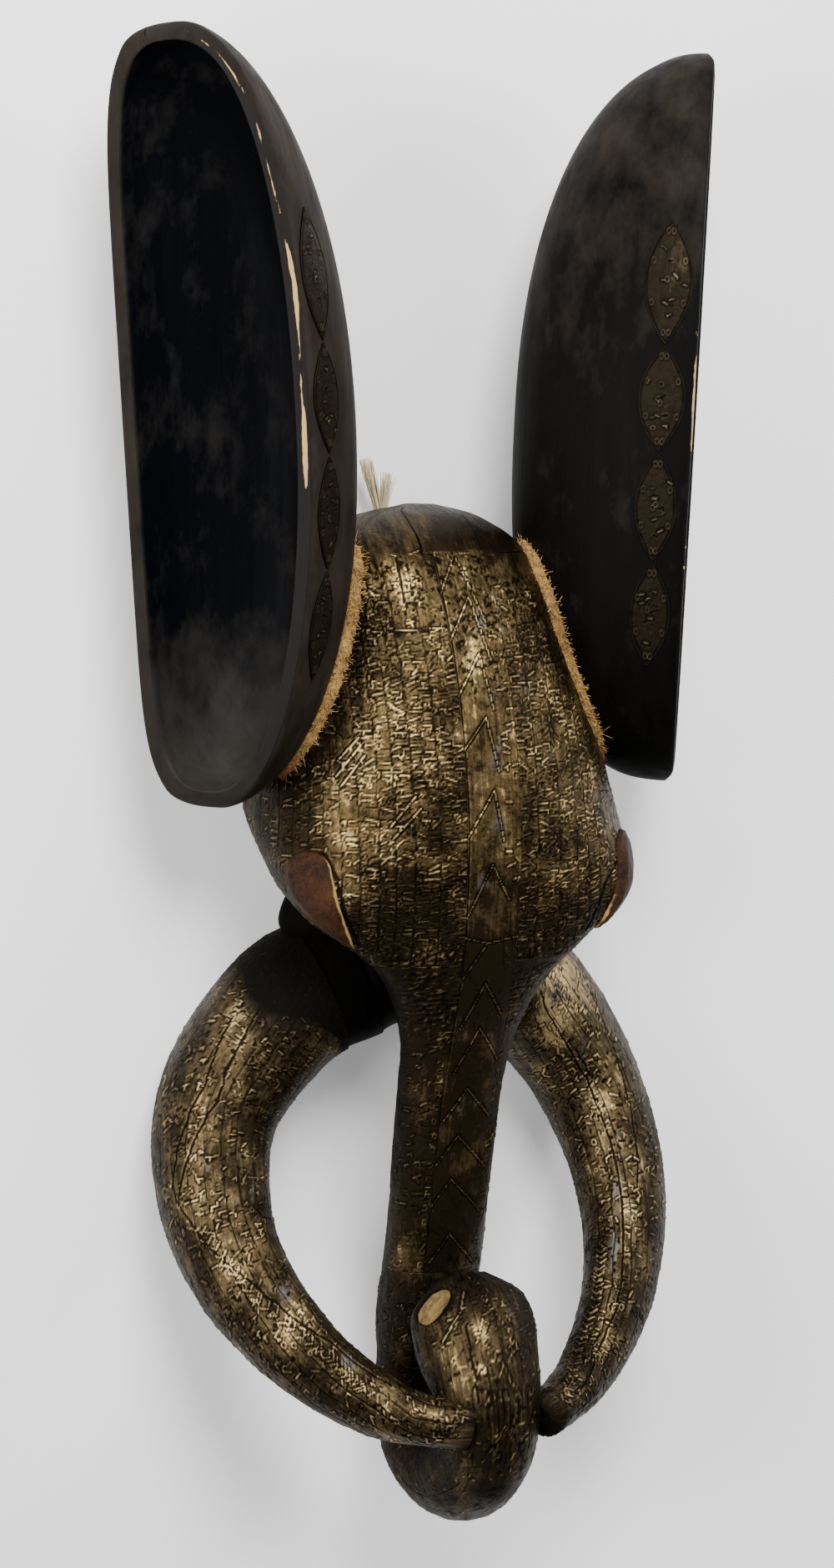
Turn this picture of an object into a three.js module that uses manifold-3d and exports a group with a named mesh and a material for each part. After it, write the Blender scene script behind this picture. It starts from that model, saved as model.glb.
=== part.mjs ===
// A carved elephant mask sheathed in thin brass, lying on its back with the face up.
// Millimetres. X runs across the face, Y towards the ear tips, Z up out of the face.
// The flat rim of the hollow back lies on Z = 0.
import * as THREE from "three";
import { mergeVertices } from "three/addons/utils/BufferGeometryUtils.js";
import Module from "manifold-3d";

const wasm = await Module();
wasm.setup();

// Joints between pieces
const gap = 0.35;
const sheetThickness = 1.1;
const sheetOutside = gap + sheetThickness;

// Ears: two deep troughs, their mouths turned outwards and a little to the front
const earLength = 558;
const earMouth = 164;
const earDepth = { left: 133, right: 138 };
const earWall = 13;
const earFloor = 24;
const earMiddleY = 283;
const earMiddleZ = 152;
const earSpread = 198;
const earTurn = THREE.MathUtils.degToRad(32);
const earSplay = THREE.MathUtils.degToRad(3.2);
const earTipOffset = -20;
const earBow = 0.5;

// Head: stations down the skull, the neck of the trunk and the trunk itself.
// y: place along the length; half: half width; front: highest Z; mid: Z of the widest line;
// back: lowest Z; rim: half width of the flat back
const crown = [
  { y: 220, half: 12, front: 92, mid: 82, back: 60, rim: 4 },
  { y: 214, half: 36, front: 110, mid: 84, back: 22, rim: 20 },
  { y: 203, half: 57, front: 128, mid: 88, back: 0, rim: 42 },
  { y: 188, half: 74, front: 142, mid: 92, back: 0, rim: 58 },
];
const skull = [
  { y: 160, half: 86, front: 158, mid: 98, back: 0, rim: 70 },
  { y: 120, half: 96, front: 176, mid: 102, back: 0, rim: 80 },
  { y: 75, half: 112, front: 190, mid: 104, back: 0, rim: 88 },
  { y: 30, half: 133, front: 199, mid: 98, back: 0, rim: 98 },
  { y: -5, half: 144, front: 203, mid: 98, back: 0, rim: 98 },
  { y: -40, half: 143, front: 203, mid: 132, back: 0, rim: 58 },
  { y: -66, half: 135, front: 201, mid: 154, back: 20, rim: 36 },
];
const neck = [
  { y: -85, half: 119, front: 199, mid: 162, back: 60, rim: 10 },
  { y: -100, half: 98, front: 197, mid: 170, back: 84, rim: 0 },
  { y: -114, half: 81, front: 194, mid: 171, back: 96, rim: 0 },
  { y: -130, half: 66, front: 190, mid: 164, back: 103, rim: 0 },
  { y: -150, half: 54, front: 184, mid: 155, back: 108, rim: 0 },
  { y: -178, half: 44, front: 175, mid: 145, back: 108, rim: 0 },
];
const trunk = [
  { y: -215, half: 40, front: 163, mid: 132, back: 101 },
  { y: -265, half: 39, front: 151, mid: 121, back: 91 },
  { y: -315, half: 38, front: 141, mid: 111, back: 81 },
  { y: -365, half: 38, front: 130, mid: 100, back: 70 },
  { y: -405, half: 38, front: 118, mid: 88, back: 58 },
];

// Curl at the trunk's end: places of its middle line in Y and Z, then its half width and thickness
const curl = [
  { y: -440, z: 83, half: 38, inner: 30, outer: 31 },
  { y: -477, z: 89, half: 41, inner: 29, outer: 42 },
  { y: -504, z: 115, half: 46, inner: 31, outer: 46 },
  { y: -512, z: 152, half: 46, inner: 31, outer: 44 },
  { y: -488, z: 186, half: 41, inner: 29, outer: 40 },
  { y: -444, z: 195, half: 43, inner: 33, outer: 40 },
  { y: -420, z: 181, half: 48, inner: 35, outer: 43 },
  { y: -400, z: 170, half: 50, inner: 35, outer: 43 },
  { y: -381, z: 158, half: 43, inner: 30, outer: 36 },
  { y: -369, z: 150, half: 25, inner: 17, outer: 21 },
];

// Jaw collar behind the tusks
const collar = [
  { y: -40, half: 60, front: 80, rim: 46 },
  { y: -66, half: 90, front: 90, rim: 58 },
  { y: -84, half: 104, front: 96, rim: 64 },
  { y: -97, half: 108, front: 98, rim: 66 },
  { y: -112, half: 102, front: 100, rim: 64 },
  { y: -138, half: 86, front: 104, rim: 58 },
  { y: -162, half: 58, front: 106, rim: 42 },
  { y: -176, half: 30, front: 104, rim: 22 },
];

// Tusks: the middle line of the one on the right, from its root to its tip on the curl
const tuskLine = [
  [52, -140, 60],
  [98, -161, 54],
  [158, -236, 52],
  [173, -320, 89],
  [144, -393, 139],
  [88, -444, 182],
  [30, -461, 217],
];
const tuskRootRadius = 53;
const tuskTipRadius = 15.5;
const tuskTaper = 1.2;
const tuskLean = 6;
const tuskWideness = 1.07;

// Root of both tusks: a bar across the jaw, behind the neck
const jawBarRadius = 42;
const jawBarHalf = 60;
const jawBarY = -140;
const jawBarZ = 62;

// Hollow of the mask
const skullWall = 26;
const rimWall = 20;
const collarWall = 20;

// Brass sheets: where they end on the head, and the width of the strip down the middle
const sheetBackZ = 46;
const stripHalf = 22;
const stripBackZ = 112;

// Eyes: teardrops of copper, from their round top to their point
const eyeTop = new THREE.Vector3(140, -30, 158);
const eyeTip = new THREE.Vector3(101, -99, 176);
const eyeFacing = new THREE.Vector3(0.68, -0.25, 0.69);
const eyeWidth = 40;
const eyeHeight = 5;

// Plaques down the front wall of each ear: place along the ear, length and width
const plaques = [
  { along: 99, length: 92, width: 36 },
  { along: 13, length: 77, width: 35 },
  { along: -67, length: 79, width: 31 },
  { along: -147, length: 77, width: 30 },
];
const plaqueDepth = 24;
const plaqueThickness = 1.2;

// Flat oval on the shoulder of the curl's knob, where bare wood shows
const facetMiddle = new THREE.Vector3(-37.1, -377.8, 178.9);
const facetFacing = new THREE.Vector3(-0.67, 0.64, 0.13).normalize();
const facetReach = 44;

// Fibre packed between head and ear, and the raffia tied at the back of the crown
const seamRadius = 8;
const seamTop = 190;
const seamBottom = 7;
const seamSteps = 11;
const tuftFoot = new THREE.Vector3(-6, 204, 24);

const ringPoints = 16;
const headSquareness = 0.92;
const tuskSides = 10;
const collarSides = 12;
const tuskRows = 10;
const earSides = 9;
const earRows = 12;

function toManifold(geometry) {
  const bare = geometry.clone();
  bare.deleteAttribute("normal");
  bare.deleteAttribute("uv");
  const merged = mergeVertices(bare, 1e-4);
  return new wasm.Manifold(
    new wasm.Mesh({
      numProp: 3,
      vertProperties: new Float32Array(merged.attributes.position.array),
      triVerts: new Uint32Array(merged.index.array),
    }),
  );
}

function toGeometry(solid) {
  const mesh = solid.getMesh();
  const geometry = new THREE.BufferGeometry();
  geometry.setAttribute("position", new THREE.BufferAttribute(mesh.vertProperties, 3));
  geometry.setIndex(new THREE.BufferAttribute(mesh.triVerts, 1));
  return geometry;
}

// Closed solid through a list of rings, each a list of the same number of points
function loft(rings) {
  const positions = [];
  const faces = [];
  const count = rings[0].length;
  for (const ring of rings) {
    for (const point of ring) {
      positions.push(point.x, point.y, point.z);
    }
  }
  for (let row = 0; row + 1 < rings.length; row++) {
    for (let column = 0; column < count; column++) {
      const next = (column + 1) % count;
      const a = row * count + column;
      const b = row * count + next;
      const c = a + count;
      const d = b + count;
      faces.push(a, b, d, a, d, c);
    }
  }
  for (const [row, turned] of [[0, true], [rings.length - 1, false]]) {
    const centre = new THREE.Vector3();
    rings[row].forEach((point) => centre.addScaledVector(point, 1 / count));
    const tip = positions.length / 3;
    positions.push(centre.x, centre.y, centre.z);
    for (let column = 0; column < count; column++) {
      const a = row * count + column;
      const b = row * count + ((column + 1) % count);
      faces.push(tip, turned ? b : a, turned ? a : b);
    }
  }
  const geometry = new THREE.BufferGeometry();
  geometry.setAttribute("position", new THREE.Float32BufferAttribute(positions, 3));
  geometry.setIndex(faces);
  const solid = toManifold(geometry);
  if (solid.volume() > 0) {
    return solid;
  }
  geometry.setIndex(faces.reverse());
  return toManifold(geometry);
}

// Level ring across the head: round in front, and behind either round or drawn in to a flat rim
function levelRing(station, grow) {
  const half = station.half + grow;
  const front = station.front + grow - station.mid;
  const open = station.back === 0;
  const back = station.mid - station.back + (open ? 0 : grow);
  const rim = Math.max((station.rim ?? 0) + grow, 0.5);
  const flatness = Math.min((station.rim ?? 0) / 40, 1);
  const ring = [];
  for (let i = 0; i < ringPoints; i++) {
    const angle = (i / ringPoints) * Math.PI * 2;
    const across = Math.cos(angle);
    const up = Math.sin(angle);
    if (i * 2 <= ringPoints) {
      const x = half * Math.sign(across) * Math.abs(across) ** headSquareness;
      ring.push(new THREE.Vector3(x, station.y, station.mid + front * up ** headSquareness));
      continue;
    }
    const side = Math.sign(across);
    const turn = Math.abs(i * 2 - ringPoints * 1.5) / (ringPoints / 2);
    const down = Math.min((1 - turn) * 1.5, 1);
    const flatX = down < 1 ? rim + (half - rim) * (1 - down * down) : rim * turn * 3;
    const flat = new THREE.Vector2(side * flatX, -back * down);
    const round = new THREE.Vector2(half * across, back * up);
    round.lerp(flat, flatness);
    ring.push(new THREE.Vector3(round.x, station.y, station.mid + round.y));
  }
  return ring;
}

// Ring across the curl, square to its middle line
function curlRing(station, before, after, grow) {
  const along = new THREE.Vector2(after.y - before.y, after.z - before.z).normalize();
  const inward = new THREE.Vector2(along.y, -along.x);
  const onward = after === station ? grow : 0;
  const y = station.y + along.x * onward;
  const z = station.z + along.y * onward;
  const ring = [];
  for (let i = 0; i < ringPoints; i++) {
    const angle = (i / ringPoints) * Math.PI * 2;
    const across = Math.cos(angle) * (station.half + grow);
    const up = Math.sin(angle);
    const deep = up * ((up > 0 ? station.inner : station.outer) + grow);
    ring.push(new THREE.Vector3(across, y + inward.x * deep, z + inward.y * deep));
  }
  return ring;
}

const levelStations = [...crown, ...skull, ...neck, ...trunk];

function headRings(grow) {
  const rings = levelStations.map((station) => levelRing(station, grow));
  curl.forEach((station, i) => {
    const before = curl[Math.max(i - 1, 0)];
    const after = curl[Math.min(i + 1, curl.length - 1)];
    rings.push(curlRing(station, before, after, grow));
  });
  return rings;
}

// Rows of rings where the centre strip starts, and where the sheets of forehead and trunk stop
const browRow = crown.length - 1;
const noseRow = crown.length + skull.length + 2;
const curlRow = levelStations.length - 2;
const browY = levelStations[browRow].y;
const noseY = levelStations[noseRow].y;
const curlY = levelStations[curlRow].y;

function headPart(first, last, grow) {
  return loft(headRings(grow).slice(first, last + 1));
}

function headBody(grow) {
  return loft(headRings(grow));
}

// Jaw collar: a shallow block behind the neck, its back in the plane of the rim
function collarRing(station, grow, below) {
  const half = station.half + grow;
  const rim = station.rim + grow;
  const front = station.front + grow + below;
  const ring = [];
  for (let i = 0; i < collarSides; i++) {
    const angle = (i / collarSides) * Math.PI * 2;
    const up = (Math.sin(angle) + 1) / 2;
    const width = rim + (half - rim) * Math.sin(Math.min(up * 1.6, 1) * Math.PI * 0.5);
    ring.push(new THREE.Vector3(width * Math.cos(angle), station.y, front * up - below));
  }
  return ring;
}

function collarBody(grow) {
  return loft(collar.map((station) => collarRing(station, grow, 0)));
}

function jawBar(grow) {
  const radius = jawBarRadius + grow;
  const geometry = new THREE.CylinderGeometry(radius, radius, jawBarHalf * 2, 12);
  geometry.rotateZ(Math.PI / 2);
  geometry.translate(0, jawBarY, jawBarZ);
  return toManifold(geometry);
}

// Hollow inside the skull and the collar, open through the rim
function hollow() {
  const inner = [crown[browRow], ...skull.filter((_, i) => i % 2 === 0)].map((station) => {
    const { y, mid } = station;
    const half = station.half - skullWall;
    const front = station.front - skullWall;
    return levelRing({ y: y - 4, half, front, mid, back: -12, rim: station.rim - rimWall }, 0);
  });
  const lower = collar.slice(1, -1).map((station) => collarRing(station, -collarWall, 12));
  return loft(inner).add(loft(lower));
}

// Tusk: a horn a little wider across its outer side than through
function tuskRings(side, grow) {
  const last = tuskLine.length - 1;
  const points = tuskLine.map(
    ([x, y, z], i) => new THREE.Vector3(side * x + tuskLean * (i / last) ** 3, y, z),
  );
  const line = new THREE.CatmullRomCurve3(points, false, "centripetal");
  const rings = [];
  for (let row = 0; row <= tuskRows; row++) {
    const share = row / tuskRows;
    const along = line.getTangentAt(share);
    const centre = line.getPointAt(share).addScaledVector(along, row === tuskRows ? grow : 0);
    const outward = new THREE.Vector3(side * 0.72, 0, -0.69);
    outward.addScaledVector(along, -outward.dot(along)).normalize();
    const through = new THREE.Vector3().crossVectors(along, outward);
    const radius = tuskRootRadius - (tuskRootRadius - tuskTipRadius) * share ** tuskTaper;
    const ring = [];
    for (let i = 0; i < tuskSides; i++) {
      const angle = (i / tuskSides) * Math.PI * 2;
      const wide = (radius * tuskWideness + grow) * Math.cos(angle);
      const thin = (radius / tuskWideness + grow) * Math.sin(angle);
      ring.push(centre.clone().addScaledVector(outward, wide).addScaledVector(through, thin));
    }
    rings.push(ring);
  }
  return rings;
}

// Outline of an ear's mouth at a place along it: [back edge, front edge], both across the mouth
function earEdges(share, grow) {
  const half = earMouth / 2 + grow;
  const toFront = half - earTipOffset;
  const toBack = half + earTipOffset;
  const atTip = share > 0;
  const narrowing = (power, root) => Math.max(1 - Math.abs(share) ** power, 0) ** (1 / root);
  const back = narrowing(atTip ? 7 : 9, 3);
  const front = atTip ? narrowing(2.3, 2.3) : narrowing(2, 2);
  return [earTipOffset - toBack * back, earTipOffset + toFront * front];
}

function earDepthAt(side, sink, share) {
  const depth = (side < 0 ? earDepth.left : earDepth.right) - sink;
  const tipPower = side < 0 ? 1.9 : 2.25;
  const power = share < 0 ? 2.6 : tipPower;
  return depth * Math.max(1 - Math.abs(share) ** power, 0) ** (1 / power);
}

// Trough of an ear, solid from its mouth down to its outer skin; lift carries the mouth outwards
function earTrough(side, grow, sink, lift) {
  const rings = [];
  const reach = earLength / 2 + grow;
  for (let row = 0; row <= earRows; row++) {
    const share = Math.sin((row / earRows - 0.5) * Math.PI * 0.985);
    const [back, front] = earEdges(share, grow);
    const middle = (back + front) / 2;
    const half = (front - back) / 2;
    const deep = earDepthAt(side, sink, share);
    const ring = [];
    for (let i = 0; i <= earSides; i++) {
      const angle = (i / earSides) * Math.PI;
      const across = middle + half * Math.cos(angle);
      ring.push(earPoint(side, across, share * reach, -deep * Math.sin(angle) ** 0.95));
    }
    if (lift > 0) {
      ring.push(earPoint(side, back, share * reach, lift));
      ring.push(earPoint(side, front, share * reach, lift));
    }
    rings.push(ring);
  }
  return loft(rings);
}

// Place in an ear's own frame: across its mouth to the front, along it to the tip, out of its mouth
function earPoint(side, across, along, out) {
  const share = (along * 2) / earLength;
  const bowed = out + earBow * (1 - share * share);
  const point = new THREE.Vector3(
    bowed * Math.cos(earTurn) - across * Math.sin(earTurn),
    along,
    bowed * Math.sin(earTurn) + across * Math.cos(earTurn),
  );
  point.applyAxisAngle(new THREE.Vector3(0, 0, 1), -earSplay);
  point.x += earSpread;
  point.y += earMiddleY;
  point.z += earMiddleZ;
  point.x *= side;
  return point;
}

function box(x0, x1, y0, y1, z0, z1) {
  const geometry = new THREE.BoxGeometry(x1 - x0, y1 - y0, z1 - z0);
  geometry.translate((x0 + x1) / 2, (y0 + y1) / 2, (z0 + z1) / 2);
  return toManifold(geometry);
}

// Prism of a flat outline, its middle at a place, its width and length along two directions
function prism(shape, place, across, along, near, far) {
  const geometry = new THREE.ExtrudeGeometry(shape, {
    depth: far - near,
    bevelEnabled: false,
    curveSegments: 3,
  });
  const outward = new THREE.Vector3().crossVectors(across, along);
  geometry.translate(0, 0, near);
  geometry.applyMatrix4(new THREE.Matrix4().makeBasis(across, along, outward).setPosition(place));
  return toManifold(geometry);
}

// Lens: two arcs that meet in points
function lensOutline(length, width) {
  const shape = new THREE.Shape();
  shape.moveTo(0, -length / 2);
  shape.quadraticCurveTo(width, 0, 0, length / 2);
  shape.quadraticCurveTo(-width, 0, 0, -length / 2);
  return shape;
}

// Teardrop, round above and pointed below
function tearOutline(length, width) {
  const half = width / 2;
  const shoulder = length / 2 - half;
  const shape = new THREE.Shape();
  shape.moveTo(0, -length / 2);
  shape.quadraticCurveTo(half * 0.95, -length * 0.2, half, shoulder);
  shape.absarc(0, shoulder, half, 0, Math.PI, false);
  shape.quadraticCurveTo(-half * 0.95, -length * 0.2, 0, -length / 2);
  return shape;
}

// Everything in front of a plane through a place, near that place
function cutAway(place, facing) {
  const geometry = new THREE.BoxGeometry(facetReach * 2, facetReach * 2, facetReach);
  geometry.translate(0, 0, facetReach / 2);
  geometry.applyQuaternion(new THREE.Quaternion().setFromUnitVectors(new THREE.Vector3(0, 0, 1), facing));
  geometry.translate(place.x, place.y, place.z);
  return toManifold(geometry);
}

function mirrored(vector, side) {
  return new THREE.Vector3(vector.x * side, vector.y, vector.z);
}

// Raised copper eye, lying on the sheets, with a lower edge all round
function eye(side) {
  const place = mirrored(eyeTop.clone().lerp(eyeTip, 0.5), side);
  const facing = mirrored(eyeFacing, side).normalize();
  const along = mirrored(eyeTop.clone().sub(eyeTip), side);
  const length = along.length();
  along.addScaledVector(facing, -along.dot(facing)).normalize();
  const across = new THREE.Vector3().crossVectors(along, facing);
  return prism(tearOutline(length, eyeWidth), place, across, along, -30, 40)
    .intersect(headBody(sheetOutside + gap + eyeHeight))
    .subtract(headBody(sheetOutside + gap));
}

function plaque(side, { along, length, width }) {
  const place = earPoint(side, 20, along, -plaqueDepth);
  const outward = earPoint(side, 21, along, -plaqueDepth).sub(place).normalize();
  const up = earPoint(side, 20, along + 1, -plaqueDepth).sub(place).normalize();
  const across = new THREE.Vector3().crossVectors(up, outward);
  return prism(lensOutline(length, width), place, across, up, 0, 90)
    .intersect(earTrough(side, gap + plaqueThickness, -gap - plaqueThickness, 0))
    .subtract(earTrough(side, gap, -gap, 0));
}

// Level of the head's surface between two stations, for the seam of an ear
function stationAt(y) {
  const below = levelStations.findIndex((station) => station.y <= y);
  const [from, to] = [levelStations[below - 1], levelStations[below]];
  const share = (y - from.y) / (to.y - from.y);
  const mixed = { y };
  for (const key of ["half", "front", "mid", "back", "rim"]) {
    mixed[key] = THREE.MathUtils.lerp(from[key], to[key], share);
  }
  return mixed;
}

// Whether a point lies inside the outer skin of the right ear
function insideEar(point) {
  const local = new THREE.Vector3(point.x - earSpread, point.y - earMiddleY, point.z - earMiddleZ);
  local.applyAxisAngle(new THREE.Vector3(0, 0, 1), earSplay);
  const out = local.x * Math.cos(earTurn) + local.z * Math.sin(earTurn);
  const across = -local.x * Math.sin(earTurn) + local.z * Math.cos(earTurn);
  const share = (local.y * 2) / earLength;
  const [back, front] = earEdges(share, 0);
  const sideways = (across - (back + front) / 2) / ((front - back) / 2);
  const deep = earDepthAt(1, 0, share);
  return Math.abs(sideways) < 1 && (out / deep) ** 2 + sideways ** 2 < 1;
}

// Line where the front of the right ear meets the head
function seamLine() {
  const points = [];
  for (let step = 0; step <= seamSteps; step++) {
    const y = THREE.MathUtils.lerp(seamTop, seamBottom, step / seamSteps);
    const station = stationAt(y);
    const surface = (angle) =>
      new THREE.Vector3(
        station.half * Math.cos(angle) ** headSquareness,
        y,
        station.mid + (station.front - station.mid) * Math.sin(angle) ** headSquareness,
      );
    let angle = Math.PI / 2;
    while (angle > 0.02 && !insideEar(surface(angle))) {
      angle -= 0.01;
    }
    points.push(surface(angle));
  }
  return points;
}

function seamTube(side, radius) {
  const line = new THREE.CatmullRomCurve3(seamLine().map((point) => mirrored(point, side)));
  const section = new THREE.Shape().absarc(0, 0, radius, 0, Math.PI * 2, false);
  const geometry = new THREE.ExtrudeGeometry(section, {
    extrudePath: line,
    steps: 8,
    curveSegments: 3,
    bevelEnabled: false,
  });
  return toManifold(geometry);
}

// Raffia: two flaring bundles tied at one foot
function tuft() {
  const bundle = (length, mouth, lean, tilt) => {
    const profile = [
      new THREE.Vector2(0, 0),
      new THREE.Vector2(3.5, 0),
      new THREE.Vector2(3, length * 0.3),
      new THREE.Vector2(mouth, length),
      new THREE.Vector2(0, length),
    ];
    const geometry = new THREE.LatheGeometry(profile, 6);
    geometry.rotateZ(lean);
    geometry.rotateX(tilt);
    geometry.translate(tuftFoot.x, tuftFoot.y, tuftFoot.z);
    return toManifold(geometry);
  };
  return bundle(41, 8, -0.12, 0.05).add(bundle(54, 7, 0.27, -0.02)).subtract(headBody(gap));
}

// The main body of a cut shape, without the slivers left beside it
function largest(solid) {
  const bodies = solid.decompose();
  return bodies.reduce((best, body) => (body.volume() > best.volume() ? body : best));
}

function bothTusks(grow) {
  return loft(tuskRings(-1, grow)).add(loft(tuskRings(1, grow)));
}

const mask = new THREE.Group();
const smallestStep = 0.15;

function addPiece(name, solid, [colour, roughness, metalness]) {
  const material = new THREE.MeshStandardMaterial({ color: colour, roughness, metalness });
  const mesh = new THREE.Mesh(toGeometry(largest(solid).simplify(smallestStep)), material);
  mesh.name = name;
  mask.add(mesh);
}

// Colour, roughness and metalness of each material
const darkWood = [0x2a211b, 0.6, 0];
const earWood = [0x1c1a19, 0.55, 0];
const brass = [0x8a6a35, 0.45, 0.9];
const copper = [0x6e3a26, 0.5, 0.8];
const bronze = [0x4a3422, 0.5, 0.8];
const fibre = [0xb98c4a, 0.95, 0];
const raffia = [0xc9ad72, 0.9, 0];

const headInGap = headBody(gap);
const facet = cutAway(facetMiddle, facetFacing);
const carving = headBody(0)
  .subtract(facet)
  .add(collarBody(0))
  .add(jawBar(0))
  .add(bothTusks(0))
  .subtract(hollow());
addPiece("head_carving", carving, darkWood);

const farAcross = 300;
const farAlong = 700;
const farUp = 300;
const strip = box(-stripHalf, stripHalf, -farAlong, browY, stripBackZ, farUp);
const stripEdge = stripHalf + gap;
const stripClear = box(-stripEdge, stripEdge, -farAlong, browY + gap, stripBackZ - gap, farUp);
const carvingInGap = headInGap
  .add(collarBody(gap))
  .add(jawBar(gap))
  .add(bothTusks(sheetOutside + gap));
const foreheadShell = headPart(0, noseRow, sheetOutside).subtract(carvingInGap);

for (const [word, side] of [["left", -1], ["right", 1]]) {
  const ear = earTrough(side, 0, 0, 0)
    .subtract(earTrough(side, -earWall, earFloor, 30))
    .subtract(headInGap);
  addPiece(`ear_${word}`, ear, earWood);
  plaques.forEach((each, i) => addPiece(`ear_plaque_${word}_${i + 1}`, plaque(side, each), bronze));

  const seam = seamTube(side, seamRadius).subtract(headInGap).subtract(earTrough(side, gap, -gap, 0));
  addPiece(`fibre_seam_${word}`, seam, fibre);

  const [near, far] = [(gap / 2) * side, farAcross * side];
  const sideOnly = box(Math.min(near, far), Math.max(near, far), -farAlong, farAlong, sheetBackZ, farUp);
  const forehead = foreheadShell
    .intersect(sideOnly)
    .subtract(stripClear)
    .subtract(earTrough(side, 1, -1, 0))
    .subtract(seamTube(side, seamRadius + gap));
  addPiece(`brass_forehead_${word}`, forehead, brass);
  addPiece(`eye_${word}`, eye(side), copper);

  const tusk = loft(tuskRings(side, sheetOutside).slice(1))
    .subtract(bothTusks(gap))
    .subtract(headBody(sheetOutside + gap))
    .subtract(collarBody(gap))
    .subtract(jawBar(gap));
  addPiece(`brass_tusk_${word}`, tusk, brass);
}

const centreStrip = headPart(browRow, curlRow, sheetOutside).subtract(headInGap).intersect(strip);
addPiece("brass_centre_strip", centreStrip, brass);

const trunkSheet = headPart(noseRow, curlRow, sheetOutside)
  .subtract(carvingInGap)
  .subtract(stripClear)
  .subtract(box(-farAcross, farAcross, noseY - gap, farAlong, 0, farUp));
addPiece("brass_trunk", trunkSheet, brass);

const lastRow = levelStations.length + curl.length - 1;
const curlSheet = headPart(curlRow, lastRow, sheetOutside)
  .subtract(carvingInGap)
  .subtract(facet)
  .subtract(box(-farAcross, farAcross, curlY - gap, farAlong, 0, stripBackZ + 28));
addPiece("brass_curl", curlSheet, brass);

addPiece("raffia_tuft", tuft(), raffia);

export default mask;
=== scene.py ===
import math
import bpy
import numpy as np
from mathutils import Matrix, Vector
from mathutils.bvhtree import BVHTree


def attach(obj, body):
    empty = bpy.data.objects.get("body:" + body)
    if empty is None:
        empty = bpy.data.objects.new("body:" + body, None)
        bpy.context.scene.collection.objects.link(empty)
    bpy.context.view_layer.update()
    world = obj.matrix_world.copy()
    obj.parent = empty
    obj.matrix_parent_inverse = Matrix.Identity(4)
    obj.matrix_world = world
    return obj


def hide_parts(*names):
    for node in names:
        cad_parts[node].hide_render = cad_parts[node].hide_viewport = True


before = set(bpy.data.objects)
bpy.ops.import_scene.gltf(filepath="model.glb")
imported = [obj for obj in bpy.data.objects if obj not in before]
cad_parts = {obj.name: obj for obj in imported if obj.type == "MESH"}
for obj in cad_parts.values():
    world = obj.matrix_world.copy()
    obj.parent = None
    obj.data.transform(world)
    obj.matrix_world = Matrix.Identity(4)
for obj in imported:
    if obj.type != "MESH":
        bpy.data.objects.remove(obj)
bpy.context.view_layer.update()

mm = 0.001  # shapes are worked out in millimetres and written in metres
sideNames = {-1: "left", 1: "right"}
print("frame loaded")


# Camera, floor and light

view = {
    "turn": 27.0, "tilt": 6.95, "distance": 2230.0, "focal": 3607.0, "aside": 55.0,
    "towards": (0.0, 286.0, 152.0), "frame": (1000, 1881), "sensor": 36.0,
}


def cameraAxes():
    turn = math.radians(view["turn"])
    tilt = math.radians(view["tilt"])
    yaw = math.atan(view["aside"] / view["focal"])
    ahead = np.array([math.sin(turn), 0.0, -math.cos(turn)])
    right = np.array([math.cos(turn), 0.0, math.sin(turn)])
    up = np.array([0.0, 1.0, 0.0])
    turned = ahead * math.cos(yaw) - right * math.sin(yaw)
    right = right * math.cos(yaw) + ahead * math.sin(yaw)
    look = turned * math.cos(tilt) - up * math.sin(tilt)
    up = up * math.cos(tilt) + turned * math.sin(tilt)
    return np.array(view["towards"]) - ahead * view["distance"], right, up, look


eye, camRight, camUp, camLook = cameraAxes()


def toPixels(points):  # places in millimetres to the photograph's 1000 x 1881 pixels
    away = points - eye
    depth = away @ camLook
    wide, tall = view["frame"]
    u = wide / 2 + view["focal"] * (away @ camRight) / depth
    v = tall / 2 - view["focal"] * (away @ camUp) / depth
    return u, v


def addToScene(name, data):
    made = bpy.data.objects.new(name, data)
    bpy.context.scene.collection.objects.link(made)
    return made


def makeCamera():
    data = bpy.data.cameras.new("camera")
    camera = addToScene("camera", data)
    data.lens = view["sensor"] * view["focal"] / view["frame"][1]
    data.sensor_width = view["sensor"]
    data.clip_end = 20.0
    place = Matrix.Identity(4)
    for column, axis in enumerate((camRight, camUp, -camLook, eye * mm)):
        for row in range(3):
            place[row][column] = axis[row]
    camera.matrix_world = place
    bpy.context.scene.camera = camera


lights = {
    "above": {"at": (-0.5, 1.9, 2.3), "size": 1.3, "power": 132.0},
    "left": {"at": (-2.4, 0.2, 1.6), "size": 1.3, "power": 74.0},
    "right": {"at": (2.2, 0.9, 1.7), "size": 1.0, "power": 46.0},
    "room": 0.34,
}


def makeLight(name):
    facts = lights[name]
    data = bpy.data.lights.new(name, "AREA")
    data.shape = "DISK"
    data.size = facts["size"]
    data.energy = facts["power"]
    lamp = addToScene(name, data)
    lamp.location = facts["at"]
    lamp.rotation_euler = (Vector((0, 0, 0.1)) - lamp.location).to_track_quat("-Z", "Y").to_euler()


def selectOnly(piece=None):
    bpy.ops.object.select_all(action="DESELECT")
    if piece:
        bpy.context.view_layer.objects.active = piece
        piece.select_set(True)


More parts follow.
